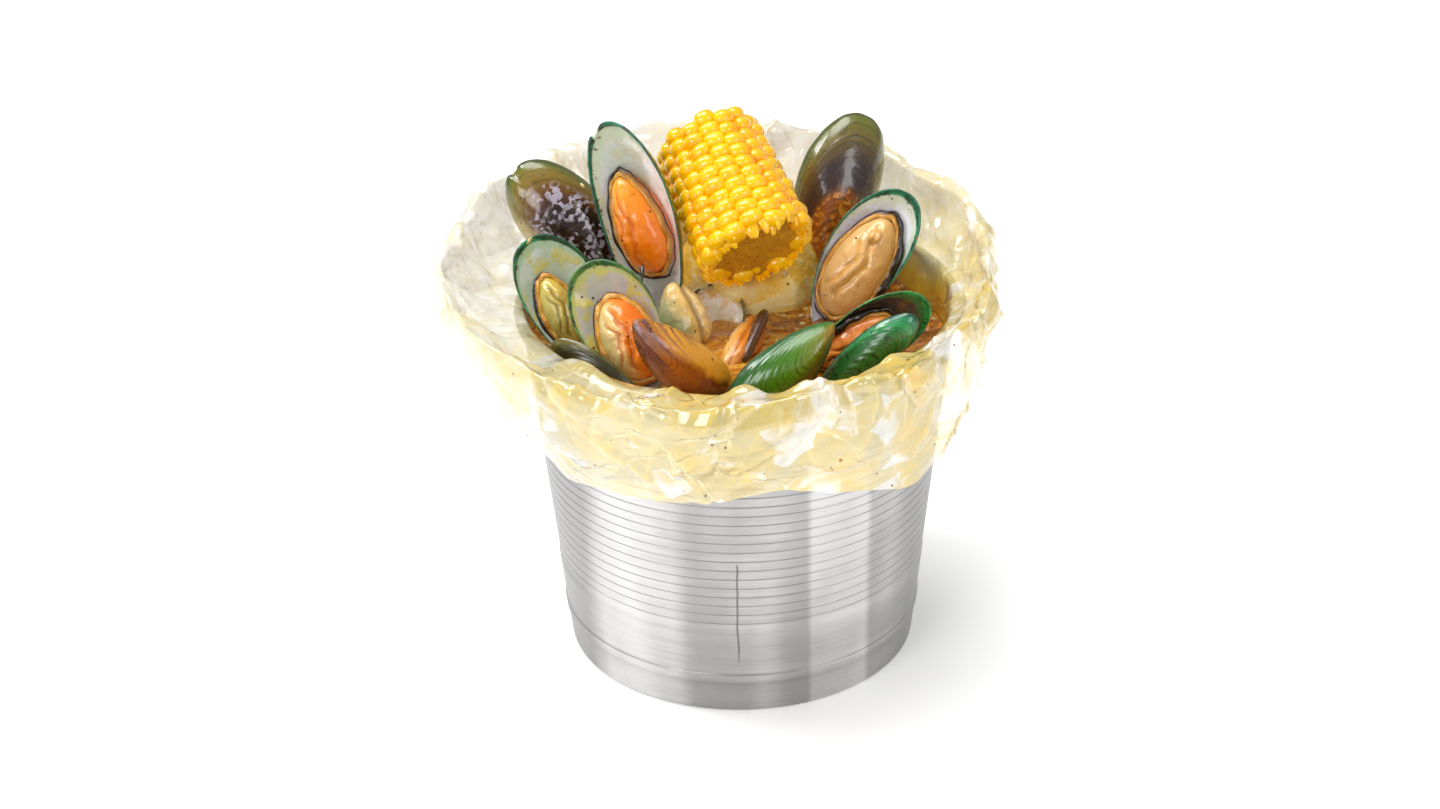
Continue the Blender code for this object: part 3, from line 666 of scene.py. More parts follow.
skins = {  # edge: a second colour along one side; rays: stripes from the beak; the wrinkle entry: a wrinkled patch whose glints are painted highlights
    "plain": {"stops": [(0.1, "463210"), (0.5, "3c3818"), (0.85, "4a5222"), (1.0, "326432")],
              "line": "221a0c", "blotch": "281a0a"},
    "b": {"stops": [(0.0, "5c260a"), (0.3, "3a180a"), (0.72, "22120a"), (0.8, "5c3010"), (0.86, "78581a"),
                    (0.94, "807022"), (1.0, "466028")],
          "line": "463414", "lines": 0.5, "blotch": "1e1008", "blotches": 0.35, "edge": ("c4b082", 1.0, 0.6),
          "wrinkleGlints": ("beb6c6", 0.16, 0.8)},
    "e": {"stops": [(0.0, "96767c"), (0.2, "9c6448"), (0.4, "b86618"), (0.7, "8a420c"),
                    (0.92, "602a08"), (1.0, "d8901e")],
          "line": "602c0a", "lines": 0.35, "blotch": "542408", "blotches": 0.4, "edge": ("e8a028", 1.0, 0.3),
          "rays": ("683e42", 0.3)},
    "h": {"stops": [(0.0, "aa7624"), (0.22, "76801e"), (0.5, "4c8012"), (0.8, "367012"),
                    (0.94, "1e5e22"), (1.0, "0e5438")],
          "line": "1a4e14", "lines": 0.6, "blotch": "463212", "blotches": 0.5, "edge": ("5c5416", 1.0, 0.0)},
    "i": {"stops": [(0.0, "627624"), (0.4, "2c7026"), (0.8, "1a6226"), (0.93, "309654"), (1.0, "0e6854")],
          "line": "0e3816", "lines": 0.6, "blotch": "0c1c0c", "blotches": 0.85},
    "k": {"stops": [(0.0, "7c3e0c"), (0.3, "c67418"), (0.55, "b06218"), (0.63, "422c2a"),
                    (0.74, "362c30"), (0.83, "5c4a2e"), (0.92, "70662a"), (1.0, "627024")],
          "line": "3c3222", "lines": 0.55, "blotch": "2c2226", "blotches": 0.4,
          "edge": ("847e34", -1.0, 0.55), "wrinkleGlints": ("e8a038", 0.1, 0.55)},
    "d": {"stops": [(0.0, "3c2e12"), (0.5, "322e12"), (0.92, "383614"), (1.0, "786c2c")],
          "line": "242010", "blotch": "221e0e"},
}
nacres = {
    "a": {"main": "c2cac2", "second": "cecad0", "stain": "c4b25c", "stains": 0.35,
          "white": ("ffffff", 0.05, 1.0), "halo": "bac8ac", "lip": "106e52", "lipDark": "083e30",
          "lipFrom": 0.982, "hinge": ("605842", 0.75)},
    "c": {"main": "acb8a0", "second": "c4cac2", "stain": "bcb048", "stains": 0.8,
          "halo": "96b48c", "lip": "2c8254", "lipDark": "0e3e28"},
    "d": {"main": "aca89c", "second": "beb8b4", "stain": "ccba38", "stains": 0.8,
          "halo": "b0b460", "lip": "54843e", "lipDark": "225430"},
    "f": {"main": "d4d0be", "second": "e8e6de", "stain": "cea642", "stains": 0.9,
          "halo": "aaa582", "lip": "786e3c", "lipDark": "463c1e"},
    "i": {"main": "5c4634", "second": "3c2c28", "stain": "78501e", "stains": 0.6,
          "halo": "3c6e32", "lip": "349642", "lipDark": "166032"},
    "j": {"main": "ececf2", "second": "d8d6e4", "stain": "c4c478", "stains": 0.45,
          "white": ("fcfcff", -0.1, 0.8), "halo": "ced8be", "lip": "1a845c", "lipDark": "0c543e",
          "hinge": ("a0a096", 0.5)},
}


def shellFinish(name, look):
    m = Finish(name + "ShellSkin", coat=0.7, coatRough=0.08, ior=1.5)
    growth, side, along = m.mark("growth"), m.mark("side"), m.mark("along")
    wander = m.noise(14, 4, 0.6, 0.8)
    fine = m.noise(3.0, 4, 0.7, 1.5)
    age = growth + (wander - 0.5) * 0.1
    color = m.ramp(age, look["stops"])
    sockets = {"W": growth * 34.0 + wander * 1.2, "Scale": 1.0, "Detail": 4.0}
    lines = m.get("ShaderNodeTexNoise", sockets, noise_dimensions="1D")
    color = m.mix(m.step(lines, 0.48, 0.66) * look.get("lines", 0.45), color, look["line"])
    if "edge" in look:
        edge, toSide, low = look["edge"]
        color = m.mix(m.step(side * toSide + (wander - 0.5) * 0.5, low, low + 0.35), color, edge)
    if "rays" in look:
        rays, end = look["rays"]
        stripe = m.noise(5.0, 3, 0.6, 0.5, m.vector(side * 0.03, along * 0.004))
        color = m.mix(m.step(stripe, 0.48, 0.6) * m.step(along, end + 0.25, end) * 0.85, color, rays)
    blotch = m.step(m.noise(8, 4, 0.6, 2.0), 0.56, 0.66)
    color = m.mix(blotch * look.get("blotches", 0.3), color, look["blotch"])
    height = lines * 0.3 + fine * 0.2
    if "wrinkleGlints" in look:
        gloss, low, high = look["wrinkleGlints"]
        skinFold = m.shards(1.9, 1.2)
        wrinkleGlints = m.step(age, low, low + 0.08) * m.step(age, high + 0.08, high)
        # painted highlights: glints in the gloss colour on the wrinkles
        glints = m.step(skinFold, 0.58, 0.66) * m.step(m.noise(9, 2), 0.36, 0.52)
        color = m.mix(glints * wrinkleGlints * 0.75, color, gloss)
        height = height + skinFold * (wrinkleGlints * 2.6)
    return m.feed(color=color, rough=0.1 + 0.2 * fine, normal=m.bump(height, 0.5))


def nacreFinish(name, look):
    # painted light: the inside glows faintly in its own colour
    m = Finish(name + "Nacre", coat=0.5, coatRough=0.12, ior=1.5, glow=0.14)
    growth, side, along = m.mark("growth"), m.mark("side"), m.mark("along")
    wander = m.noise(12, 4, 0.6, 1.0)
    broad = m.noise(24, 3, 0.5, 0.6)
    fine = m.noise(2.5, 3, 0.7, 0.5)
    age = growth + (wander - 0.5) * 0.02
    color = m.mix(m.step(broad, 0.4, 0.6), look["main"], look["second"])
    if "white" in look:
        white, low, share = look["white"]
        color = m.mix(m.step(side + (wander - 0.5) * 0.8, low, low + 0.4) * share, color, white)
    stains = m.step(m.noise(8, 3, 0.6, 0.6), 0.45, 0.62) * m.step(growth, 0.45, 0.85)
    color = m.mix(stains * look["stains"], color, look["stain"])
    hinge, share = look.get("hinge", ("78694b", 0.6))
    color = m.mix(m.step(along + (wander - 0.5) * 0.3, 0.30, 0.05) * share, color, hinge)
    color = m.mix(m.step(age, 0.93, 0.96) * 0.8, color, look["halo"])
    low = look.get("lipFrom", 0.972)
    lipColor = m.mix(m.step(wander, 0.42, 0.58), look["lip"], look["lipDark"])
    color = m.mix(m.step(age, low, low + 0.01), color, lipColor)
    dashes = m.step(m.noise(2.6, 2), 0.60, 0.66) * m.step(age, 0.955, 0.975)
    color = m.mix(dashes * 0.8, color, "161a12")
    normal = m.bump(broad + fine * 0.3 + stains * 0.2, 0.5)
    return m.feed(color=color, glowColor=color, rough=0.16 + 0.2 * fine, normal=normal)


skinOf = {name: shellFinish(name, look) for name, look in skins.items()}
nacreOf = {name: nacreFinish(name, look) for name, look in nacres.items()}
openShells = (
    ("a", "a_valve", "nacre", "plain", "a"), ("c", "c_valve", "nacre", "plain", "c"),
    ("dBack", "d_valve_back", "nacre", "plain", "d"), ("dFront", "d_valve_front", "dark_shell", "d", "d"),
    ("f", "f_valve", "nacre", "plain", "f"), ("iBack", "i_valve_back", "dark_shell", "plain", "i"),
    ("iFront", "i_valve_front", "green_shell", "i", "i"), ("j", "j_valve", "nacre", "plain", "j"),
)
valves = {name: makeValve(name, node, slotName, skinOf[skin], nacreOf[nacre])
          for name, node, slotName, skin, nacre in openShells}
shut = [makeShut(name, slotName) for name, slotName in (
    ("b", "dark_shell"), ("e", "amber_shell"), ("h", "green_shell"), ("k", "dark_shell"))]
print("shells made,", len(valves) + len(shut))


# meats

meatForm = {"around": 120, "rings": 30, "frillSides": 10}
# lean: how the tone runs ahead and across, and its offset; mantle: the dark edge's middle, spread and radius
meats = {
    "a_meat": {"shell": "a", "slot": "orange_meat", "at": (57, 0), "size": (48, 24, 11), "angle": -8,
               "pear": -0.25, "lean": (0.9, -0.45, -0.55), "groove": 0.5, "mantle": (270, 85, 2.6),
               "frill": 1.25,
               "tones": {"stops": [(0.0, "fa8008"), (0.45, "fc9410"), (0.7, "fab238"), (0.85, "e6cc8c")],
                         "fold": "de6204", "spots": ("241006", 0.9)}},
    "c_meat": {"shell": "c", "slot": "cream_meat", "at": (32, -2), "size": (34, 16, 9), "angle": 0,
               "pear": -0.1, "lean": (0.2, 0.6, 0.3), "groove": 0.7, "mantle": (270, 75, 2.0), "frill": 1.5,
               "tones": {"stops": [(0.1, "96863e"), (0.5, "c4b660"), (0.9, "d6b03c")],
                         "fold": "806828"}},
    "d_meat": {"shell": "dBack", "slot": "orange_meat", "at": (28, 2), "size": (40, 24, 11), "angle": 0,
               "pear": -0.1, "lean": (-0.1, 1.0, 0.12), "groove": 0.9, "mantle": (300, 60, 1.2), "frill": 1.7,
               "tones": {"stops": [(0.2, "d8c484"), (0.42, "e8be74"), (0.56, "f48618"), (0.9, "f07006")],
                         "fold": "c4600e"}},
    "i_meat": {"shell": "iBack", "slot": "orange_meat", "at": (30, 0), "size": (40, 18, 9), "angle": 0,
               "pear": 0.1, "lean": (0.0, 1.2, 1.15), "groove": 0.9, "mantle": (270, 60, 2.8), "frill": 0.9,
               "tones": {"stops": [(0.2, "281a24"), (0.42, "3a2428"), (0.52, "ce6a1a"), (0.8, "f09230")],
                         "fold": "96420e"}},
    "j_meat": {"shell": "j", "slot": "cream_meat", "at": (38, -1), "size": (52, 26, 12), "angle": 0,
               "pear": -0.1, "lean": (0.1, 0.35, 0.4), "groove": 1.1, "mantle": (75, 75, 3.2), "frill": 1.4,
               "knob": (0.62, -0.12, 3.6),
               "tones": {"stops": [(0.15, "f4d8a4"), (0.5, "eac080"), (0.85, "e2aa5c")],
                         "fold": "d69a32"}},
}
lumps = {
    "f_meat": {"centre": (-25, 1, 161), "size": (34, 24, 20), "heading": 130, "lean": 62, "taper": -0.3,
               "slot": "cream_meat", "waist": 0.2, "toneBy": (0.25, -0.75, 0.25),
               "tones": {"stops": [(0.1, "68704c"), (0.35, "b0b07c"), (0.55, "eec670"), (0.85, "fcde9e")],
                         "fold": "604e1e", "spots": ("323828", 1.0)}},
    "g_meat": {"centre": (2, -12, 153), "size": (36, 14, 13), "heading": 62, "lean": 18, "taper": 0.3,
               "slot": "orange_meat", "waist": 0.12, "toneBy": (-0.3, 0.7, 0.1), "foot": 0.4,
               "tones": {"stops": [(0.2, "d87016"), (0.5, "ee962e"), (0.85, "fac470")],
                         "fold": "aa4c0a"}},
}
trims = {
    "goldFrill": {"stops": [(0.2, "b0701a"), (0.6, "d69c34"), (0.9, "e8be62")], "fold": "6e3c0e",
                  "spots": ("3c220c", 0.5)},
    "darkMantle": {"stops": [(0.2, "0e0906"), (0.6, "28180e"), (0.95, "5c3416")], "fold": "080604",
                   "spots": ("966e3c", 0.6)},
}
beard = {
    "path": ((-43, -1, 189), (-43.5, -9, 183), (-44, -15, 176), (-43, -18, 168), (-42, -18, 160),
             (-40, -17, 151)),
    "radius": 0.8,
}


def meatFinish(name, tones):
    m = Finish(name, coat=0.8, coatRough=0.1, ior=1.45, soft=0.12, softRadius=(1.0, 0.45, 0.2),
               softScale=2.0 * mm)
    mottle = m.noise(6, 4, 0.6, 0.8)
    fine = m.noise(1.8, 3, 0.6, 0.4)
    color = m.ramp(m.mark("tone") + (mottle - 0.5) * 0.35, tones["stops"])
    color = m.mix(m.step(m.mark("fold"), 0.35, 0.9) * 0.7, color, tones["fold"])
    spot, share = tones.get("spots", ("3c220c", 0.25))
    color = m.mix(m.step(m.noise(3.4, 2), 0.70, 0.76) * share, color, spot)
    return m.feed(color=color, rough=0.16 + 0.22 * mottle, normal=m.bump(mottle + fine * 0.35, 0.6))


def meatSpots(meat, turn, share):
    length, width, _ = meat["size"]
    x = 0.5 * length * np.cos(turn) * share
    y = 0.5 * width * np.sin(turn) * share * (1 + meat["pear"] * np.cos(turn))
    c, s = cos(radians(meat["angle"])), sin(radians(meat["angle"]))
    return meat["at"][0] + c * x - s * y, meat["at"][1] + s * x + c * y


def makeMeat(node, meat):
    form, place = meatForm, Shell(meat["shell"]).place
    local = valves[meat["shell"]].data.copy()
    local.transform(place.inverted())
    work = bmesh.new()
    work.from_mesh(local)
    tree = BVHTree.FromBMesh(work)
    work.free()

    def seat(x, y):  # the height of the shell's inside
        hit = tree.ray_cast(Vector((x, y, -60)) * mm, Vector((0, 0, 1)))[0]
        return (hit.z / mm if hit else 0.0) - 0.4

    turn = circle(form["around"])
    s = np.sin(np.linspace(pi / 2, 0.02, form["rings"]))[:, None]
    x, y = meatSpots(meat, turn, s)
    level = min(seat(a, b) for a, b in zip(*meatSpots(meat, turn, 1.0))) - 0.8
    across, ahead = np.sin(turn) * s, np.cos(turn) * s
    offLine = across - 0.16 * np.sin(5 * ahead + 1.3) - 0.05 * np.sin(13 * ahead)
    groove = hill(offLine / 0.13) * smoothStep(0.98, 0.6, np.abs(ahead))
    second = hill((offLine + 0.42) / 0.10) * smoothStep(0.9, 0.3, np.abs(ahead))
    top = np.stack([x, y, level - meat["size"][2] * np.sqrt(np.maximum(1 - s**2, 0)) + 0 * x], -1)
    lump = noiseAt(top, 7.5, meat["size"][2]) * 0.9 + noiseAt(top, 3.2, 8.0) * 0.3
    top[..., 2] += (meat["groove"] * (1.5 * groove + 0.8 * second) - lump) * smoothStep(1.0, 0.85, s)
    if "knob" in meat:
        knobX, knobY, knobRise = meat["knob"]
        off = ((ahead - knobX) / 0.13) ** 2 + ((across - knobY) / 0.24) ** 2
        top[..., 2] -= knobRise * np.sqrt(np.maximum(1 - off, 0))
    under = [[(a, b, seat(a, b)) for a, b in zip(*meatSpots(meat, turn, k))] for k in (0.35, 0.7, 0.9, 1.0)]
    leanX, leanY, offset = meat["lean"]
    tone = np.clip(0.5 + 0.5 * (leanX * ahead + leanY * across + offset), 0, 1)
    flat = np.zeros((4, len(turn)))
    skin = Skin("tone", "fold", "speckled")
    skin.add(np.concatenate([under, top]), tone=np.concatenate([np.repeat(tone[:1], 4, 0), tone]),
             fold=np.concatenate([flat, np.clip(groove + second, 0, 1)]),
             speckled=np.concatenate([flat, np.ones_like(tone)]))
    ruffle = 1 + 0.014 * np.sin(7 * turn) + 0.008 * np.sin(13 * turn + 1)
    centre, spread, radius = meat["mantle"]
    mantle = 0.12 + 0.88 * hill(awayFrom(centre, turn) / spread) ** 1.6
    for finish, reach, wide, rise in ((1, 1.03, meat["frill"], -1.2), (2, 1.13, radius * mantle, 0.6)):
        x, y = meatSpots(meat, turn, reach * ruffle)
        outX, outY = x - meat["at"][0], y - meat["at"][1]
        wide = wide * (1 + 0.10 * np.sin(11 * turn + 2))
        edge = wide / np.hypot(outX, outY)
        z = level + rise + 0.35 * np.sin(13 * turn + reach)
        section = circle(form["frillSides"])
        outward, upward = np.cos(section), np.sin(section)
        rings = np.stack([x[:, None] + np.outer(edge * outX, outward),
                          y[:, None] + np.outer(edge * outY, outward),
                          z[:, None] - np.outer(wide * 1.25, upward)], -1)
        shade = 0.55 + 0.12 * np.sin(9 * turn + reach)[:, None] - 0.3 * outward
        skin.add(rings, ends="loop", finish=finish, tone=shade, fold=(outward < -0.6) * np.ones_like(shade))
    finishes = [meatFinish(node + "Body", meat["tones"]), frillFinish, mantleFinish]
    return declare(skin.make(node.replace("_", "") + "Flesh", finishes, place), meat["slot"], node)


def makeLump(node, lump):
    length, width, height = lump["size"]
    turn = circle(96)
    tilt = np.linspace(0.03, pi - 0.03, 56)[:, None]
    x = -0.5 * np.cos(tilt) + 0 * turn
    y, z = 0.5 * np.sin(tilt) * np.cos(turn), 0.5 * np.sin(tilt) * np.sin(turn)
    taper = 1 + lump["taper"] * x
    waist = 1 - lump["waist"] * hill((y * 2 + 0.12) / 0.22) * (z > -0.1)
    grid = np.stack([length * x, width * y * taper, height * z * taper * waist], -1)
    grid += gridNormals(grid) * (1.0 * noiseAt(grid, 8.0) + 0.4 * noiseAt(grid, 3.4, 6.0))[..., None]
    byX, byY, offset = lump["toneBy"]
    tone = np.clip(0.5 + byX * x + byY * y + offset * 0.5, 0, 1)
    place = Matrix.Translation(Vector(lump["centre"]) * mm)
    place = place @ Matrix.Rotation(radians(lump["heading"]), 4, "Z")
    place = place @ Matrix.Rotation(radians(-lump["lean"]), 4, "Y")
    skin = Skin("tone", "fold", "speckled")
    skin.add(grid, tone=tone, fold=np.clip((1 - waist) / lump["waist"], 0, 1) * 0.8, speckled=1.0)
    if "foot" in lump:  # a brown ridge along its side
        path = [(length * (-0.3 + 0.062 * k), -5.2 + 0.12 * k, 0.6 + 0.4 * k) for k in range(14)]
        radii = 2.2 * (1 - np.linspace(-0.97, 0.97, 14) ** 6) ** 0.5 * (1 + 0.02 * np.arange(14))
        skin.add(tubeRings(path, radii + lump["foot"], 20), finish=1, tone=0.95)
    finishes = [meatFinish(node + "Body", lump["tones"]), mantleFinish]
    return declare(skin.make(node.replace("_", "") + "Flesh", finishes, place), lump["slot"], node)


def makeBeard():  # the thread that hangs from the tallest mussel's meat
    path = throughPoints(np.array(beard["path"], float)[:, None], np.linspace(0, 5, 40))[:, 0]
    skin = Skin("tone", "fold")
    skin.add(tubeRings(path, beard["radius"] * (1 + 0.3 * np.sin(np.linspace(0, 30, 40))), 10), tone=0.5)
    declare(skin.make("beardThread", [mantleFinish]), "dark_shell")


frillFinish, mantleFinish = (meatFinish(name, tones) for name, tones in trims.items())
flesh = [makeMeat(node, meat) for node, meat in meats.items()]
flesh += [makeLump(node, lump) for node, lump in lumps.items()]
makeBeard()
print("meats made,", len(flesh))


# geometry node groups

class Group(Tree):  # a geometry group with named inputs
    def __init__(self, name, inputs):
        super().__init__(bpy.data.node_groups.new(name, "GeometryNodeTree"))
        face = self.nodeTree.interface
        face.new_socket("Geometry", in_out="OUTPUT", socket_type="NodeSocketGeometry")
        self.identifiers = {}
        for label, kind in inputs.items():
            made = face.new_socket(label, in_out="INPUT", socket_type="NodeSocket" + kind)
            self.identifiers[label] = made.identifier
        self.entry = self.nodeTree.nodes.new("NodeGroupInput")

    def given(self, label):
        return Value(self, self.entry.outputs[label])

    def draw(self, low, high, salt):
        sockets = {2: low, 3: high, 8: self.given("Seed") + salt}
        return self.get("FunctionNodeRandomValue", sockets, 1, data_type="FLOAT")

    def close(self, points, instance, rotation, scale):
        sockets = {"Points": points, "Instance": instance, "Rotation": rotation, "Scale": scale}
        placed = self.get("GeometryNodeInstanceOnPoints", sockets)
        real = self.get("GeometryNodeRealizeInstances", {0: placed})
        painted = self.get("GeometryNodeSetMaterial", {"Geometry": real, "Material": self.given("Material")})
        self.node("NodeGroupOutput", {0: painted})
        return self

    def run(self, name, values, place=None):  # the group's result as a plain mesh object
        holder = addObject(name + "Holder", bpy.data.meshes.new(name + "Holder"))
        modifier = holder.modifiers.new(name, "NODES")
        modifier.node_group = self.nodeTree
        for label, value in values.items():
            modifier[self.identifiers[label]] = value
        graph = bpy.context.evaluated_depsgraph_get()
        mesh = bpy.data.meshes.new_from_object(holder.evaluated_get(graph))
        holder.modifiers.remove(modifier)
        bpy.data.objects.remove(holder)
        if place is not None:
            mesh.transform(place)
        mesh.shade_smooth()
        return addObject(name, mesh)


# corn

corn = {
    "near": (9.5, 6.5, 191.5), "far": (-13.5, 55.0, 227.0), "radius": 28.5, "farRadius": 25.0, "core": 4.0,
    "rows": 16, "kernels": 10, "seat": 2.3, "kernelRise": 4.6, "seed": 4, "torn": 52, "tornSeed": 11,
    "deep": "e48600", "main": "ffb800", "light": "ffd008", "cut": "c47c0a", "cutDark": "844a06",
    "cutGold": "f0b018",
}
cornPlace = frameBetween(corn["near"], corn["far"], 0)


def kernelFinish():
    # painted light: the kernels glow faintly in their own colour, lifting their shaded side
    m, d = Finish("yellowKernels", coat=0.7, coatRough=0.04, ior=1.5, soft=0.15, softRadius=(1.0, 0.5, 0.08),
                  softScale=2.5 * mm, glow=0.1), corn
    broad, fine = m.noise(13, 3, 0.6), m.noise(2.8, 3, 0.6)
    color = m.ramp(broad * 0.7 + fine * 0.35, [(0.3, d["deep"]), (0.46, d["main"]), (0.72, d["light"])])
    return m.feed(color=color, glowColor=color, rough=0.1 + 0.15 * fine, normal=m.bump(fine, 0.2))


def cobFinish():
    m, d = Finish("cobCore", coat=0.5, coatRough=0.15), corn
    broad, fine = m.noise(9, 5, 0.65, 1.0), m.noise(2.2, 4, 0.7, 1.5)
    color = m.ramp(broad * 0.7 + fine * 0.4, [(0.36, d["cutDark"]), (0.52, d["cut"]), (0.75, d["cutGold"])])
    _, y, z = m.axes()
    fromAxis = m.maths("SQRT", y * y + z * z) + (broad - 0.5) * (7 * mm)
    grains = m.ramp(fine, [(0.35, d["cut"]), (0.5, d["cutGold"]), (0.7, d["light"])])
    color = m.mix(m.step(fromAxis, 14.5 * mm, 17.5 * mm) * 0.9, color, grains)
    return m.feed(color=color, rough=0.3 + 0.3 * fine, normal=m.bump(broad + fine, 1.2))


def kernelGroup():
    inputs = {"Rows": "Int", "Kernels": "Int", "Length": "Float", "Near Radius": "Float",
              "Far Radius": "Float", "Rise": "Float", "Seed": "Int", "Material": "Material"}
    g = Group("kernelRows", inputs)
    rows, kernels, length, near, far, rise = (g.given(label) for label in list(inputs)[:6])
    points = g.get("GeometryNodePoints", {"Count": rows * kernels})
    index = g.get("GeometryNodeInputIndex", {})
    row = g.maths("FLOOR", (index + 0.5) / kernels)
    shift = 0.5 * g.maths("MODULO", row, 2.0) - 0.25
    turn = (row + g.draw(-0.05, 0.05, 1)) * (2 * pi) / rows
    along = (index - row * kernels + 0.5 + shift * 0.8 + g.draw(-0.06, 0.06, 2)) * length / kernels
    radius = near + (far - near) * along / length
    seat = radius - rise * 0.62 + g.draw(-0.0005, 0.0005, 3)
    spot = g.vector(along, seat * g.maths("COSINE", turn), seat * g.maths("SINE", turn))
    moved = g.get("GeometryNodeSetPosition", {"Geometry": points, "Position": spot})
    cube = g.get("GeometryNodeMeshCube", {"Size": (1, 1, 1)})
    rounded = g.get("GeometryNodeSubdivisionSurface", {"Mesh": cube, "Level": 2, "Edge Crease": 0.15})
    facing = g.vector(turn - pi / 2 + g.draw(-0.1, 0.1, 4), g.draw(-0.14, 0.14, 5), g.draw(-0.1, 0.1, 6))
    tall = rise * 2.6 * g.draw(0.9, 1.1, 7)
    deep = length / kernels * g.draw(1.36, 1.46, 8)
    size = g.vector(deep, radius * (2 * pi) / rows * g.draw(1.30, 1.38, 9), tall)
    return g.close(moved, rounded, facing, size)


def makeCorn():
    d, length = corn, (Vector(corn["far"]) - Vector(corn["near"])).length
    values = {"Rows": d["rows"], "Kernels": d["kernels"], "Length": length * mm,
              "Near Radius": (d["radius"] - d["seat"]) * mm, "Far Radius": (d["farRadius"] - d["seat"]) * mm,
              "Rise": d["kernelRise"] * mm, "Seed": d["seed"], "Material": kernelFinish()}
    declare(kernelGroup().run("cornKernels", values, cornPlace), "corn_kernels", "corn")
    turn = circle(144)
    near, far = d["radius"] - d["core"], d["farRadius"] - d["core"]
    profile = [(1.2, near * k / 14) for k in range(1, 13)]
    profile += [(0.4, near * 0.95), (1.4, near), (length * 0.5, (near + far) / 2), (length - 1.2, far),
                (length, far - 2), (length - 0.4, far * 0.7), (length - 1, far * 0.3)]
    rings = []
    for x, r in profile:
        rough = r * (1 + 0.03 * np.sin(16 * turn) + 0.02 * np.sin(37 * turn + x))
        rings.append(np.stack([x + 0 * turn, rough * np.cos(turn), rough * np.sin(turn)], -1))
    rings = np.array(rings)
    rings[:13, :, 0] += 1.5 * noiseAt(rings[:13], 5.5) * smoothStep(0, 12, np.arange(13))[:, None]
    skin = Skin("speckled")
    skin.add(rings)
    declare(skin.make("cornCore", [cobFinish()], cornPlace), "corn_kernels")


def makeTornKernels():  # split skins of the kernels at the near cut
    rng, count = np.random.default_rng(corn["tornSeed"]), corn["torn"]
    skin = Skin("speckled")
    for k in range(count):
        angle = 2 * pi * (k + rng.uniform(-0.4, 0.4)) / count
        wide, tall, reach = rng.uniform(1.2, 3.2), rng.uniform(4.0, 8.5), rng.uniform(22.0, 27.0)
        out, side = np.array((0, cos(angle), sin(angle))), np.array((0, -sin(angle), cos(angle)))
        bend = rng.uniform(-0.9, 0.5)
        rings = []
        for step in np.linspace(0, 1, 7):
            width, thick = wide * (1 - 0.75 * step**1.5) + 0.1, 0.9 * (1 - 0.8 * step) + 0.1
            middle = out * (reach - tall * 0.35 * step * step * (1 + bend))
            middle[0] = 1.6 - tall * step * (0.8 + 0.2 * step * bend)
            rings.append([middle + side * width * cos(t) + out * thick * sin(t) for t in circle(12)])
        skin.add(rings)
    declare(skin.make("tornKernels", [bpy.data.materials["yellowKernels"]], cornPlace), "corn_kernels")


makeCorn()
makeTornKernels()
print("corn made")


# potato

potato = {
    "centre": (8.0, 59.0, 152.0), "radii": (36.0, 34.0, 37.5), "around": 150, "rings": 80,
    # the palest stop, cream-white, is partly a painted highlight colour
    "tones": [(0.26, "be7408"), (0.42, "eeac16"), (0.6, "fdce48"), (0.74, "ffeeaa")],
}


def potatoFinish():
    m = Finish("softPotato", coat=0.5, coatRough=0.2)
    grain = m.noise(16, 5, 0.65, 0.8, m.stretched((0.45, 1.2, 1.6)))
    fine = m.noise(3.0, 4, 0.7, 1.0)
    # painted highlight: the tone is lifted towards the bottom
    lower = m.step(m.axes()[2], 172 * mm, 158 * mm)
    color = m.ramp(grain * 0.8 + fine * 0.25 + lower * 0.1 + 0.04, potato["tones"])
    return m.feed(color=color, rough=0.22 + 0.25 * fine, normal=m.bump(grain + fine * 0.3, 1.6))


def makePotato():
    d, turn = potato, circle(potato["around"])
    tilt = np.linspace(0.02, pi - 0.02, d["rings"])[:, None]
    ball = np.stack([np.sin(tilt) * np.cos(turn), np.sin(tilt) * np.sin(turn), np.cos(tilt) + 0 * turn], -1)
    uneven = 1 + 0.06 * noiseAt(ball, 1 / 1.7) + 0.02 * noiseAt(ball, 0.22, 4.0)
    uneven -= 0.012 * np.abs(noiseAt(ball * (1, 3, 3), 0.4, 9.0))
    skin = Skin("speckled")
    skin.add(np.array(d["centre"]) + ball * d["radii"] * uneven[..., None], speckled=1.0)
    return declare(skin.make("potatoHalf", [potatoFinish()]), "potato_flesh", "potato")


spud = makePotato()
print("potato made")


# pepper, garlic and drops

bits = {  # two colours and roughness; smallest, largest, flatness, length; how many to a square metre
    "pepperSpecks": {"slot": "dark_shell", "finish": ("18120c", "3c2c18", 0.5), "size": (0.5, 1.15, 0.7, 1.2),
                     "on": {"film": 900, "shells": 5200, "meats": 2500, "sauce": 2600, "potato": 900}},
    "garlicBits": {"slot": "cream_meat", "finish": ("ecdea8", "d6b464", 0.3), "size": (1.2, 2.9, 0.45, 1.7),
                   "on": {"film": 30, "shells": 190, "meats": 60, "sauce": 7000, "potato": 900}},
    "sauceDrops": {"slot": "sauce", "finish": ("ce8c1a", "965c0e", 0.08), "size": (0.6, 2.1, 0.35, 1.1),
                   "on": {"film": 500, "shells": 350, "meats": 500, "sauce": 9000, "potato": 2500}},
}


def bitFinish(name, first, second, rough):
    m = Finish(name, coat=0.4)
    color = m.mix(m.step(m.noise(1.6, 2), 0.4, 0.6), first, second)
    return m.feed(color=color, rough=rough + 0.1 * m.noise(1.0))


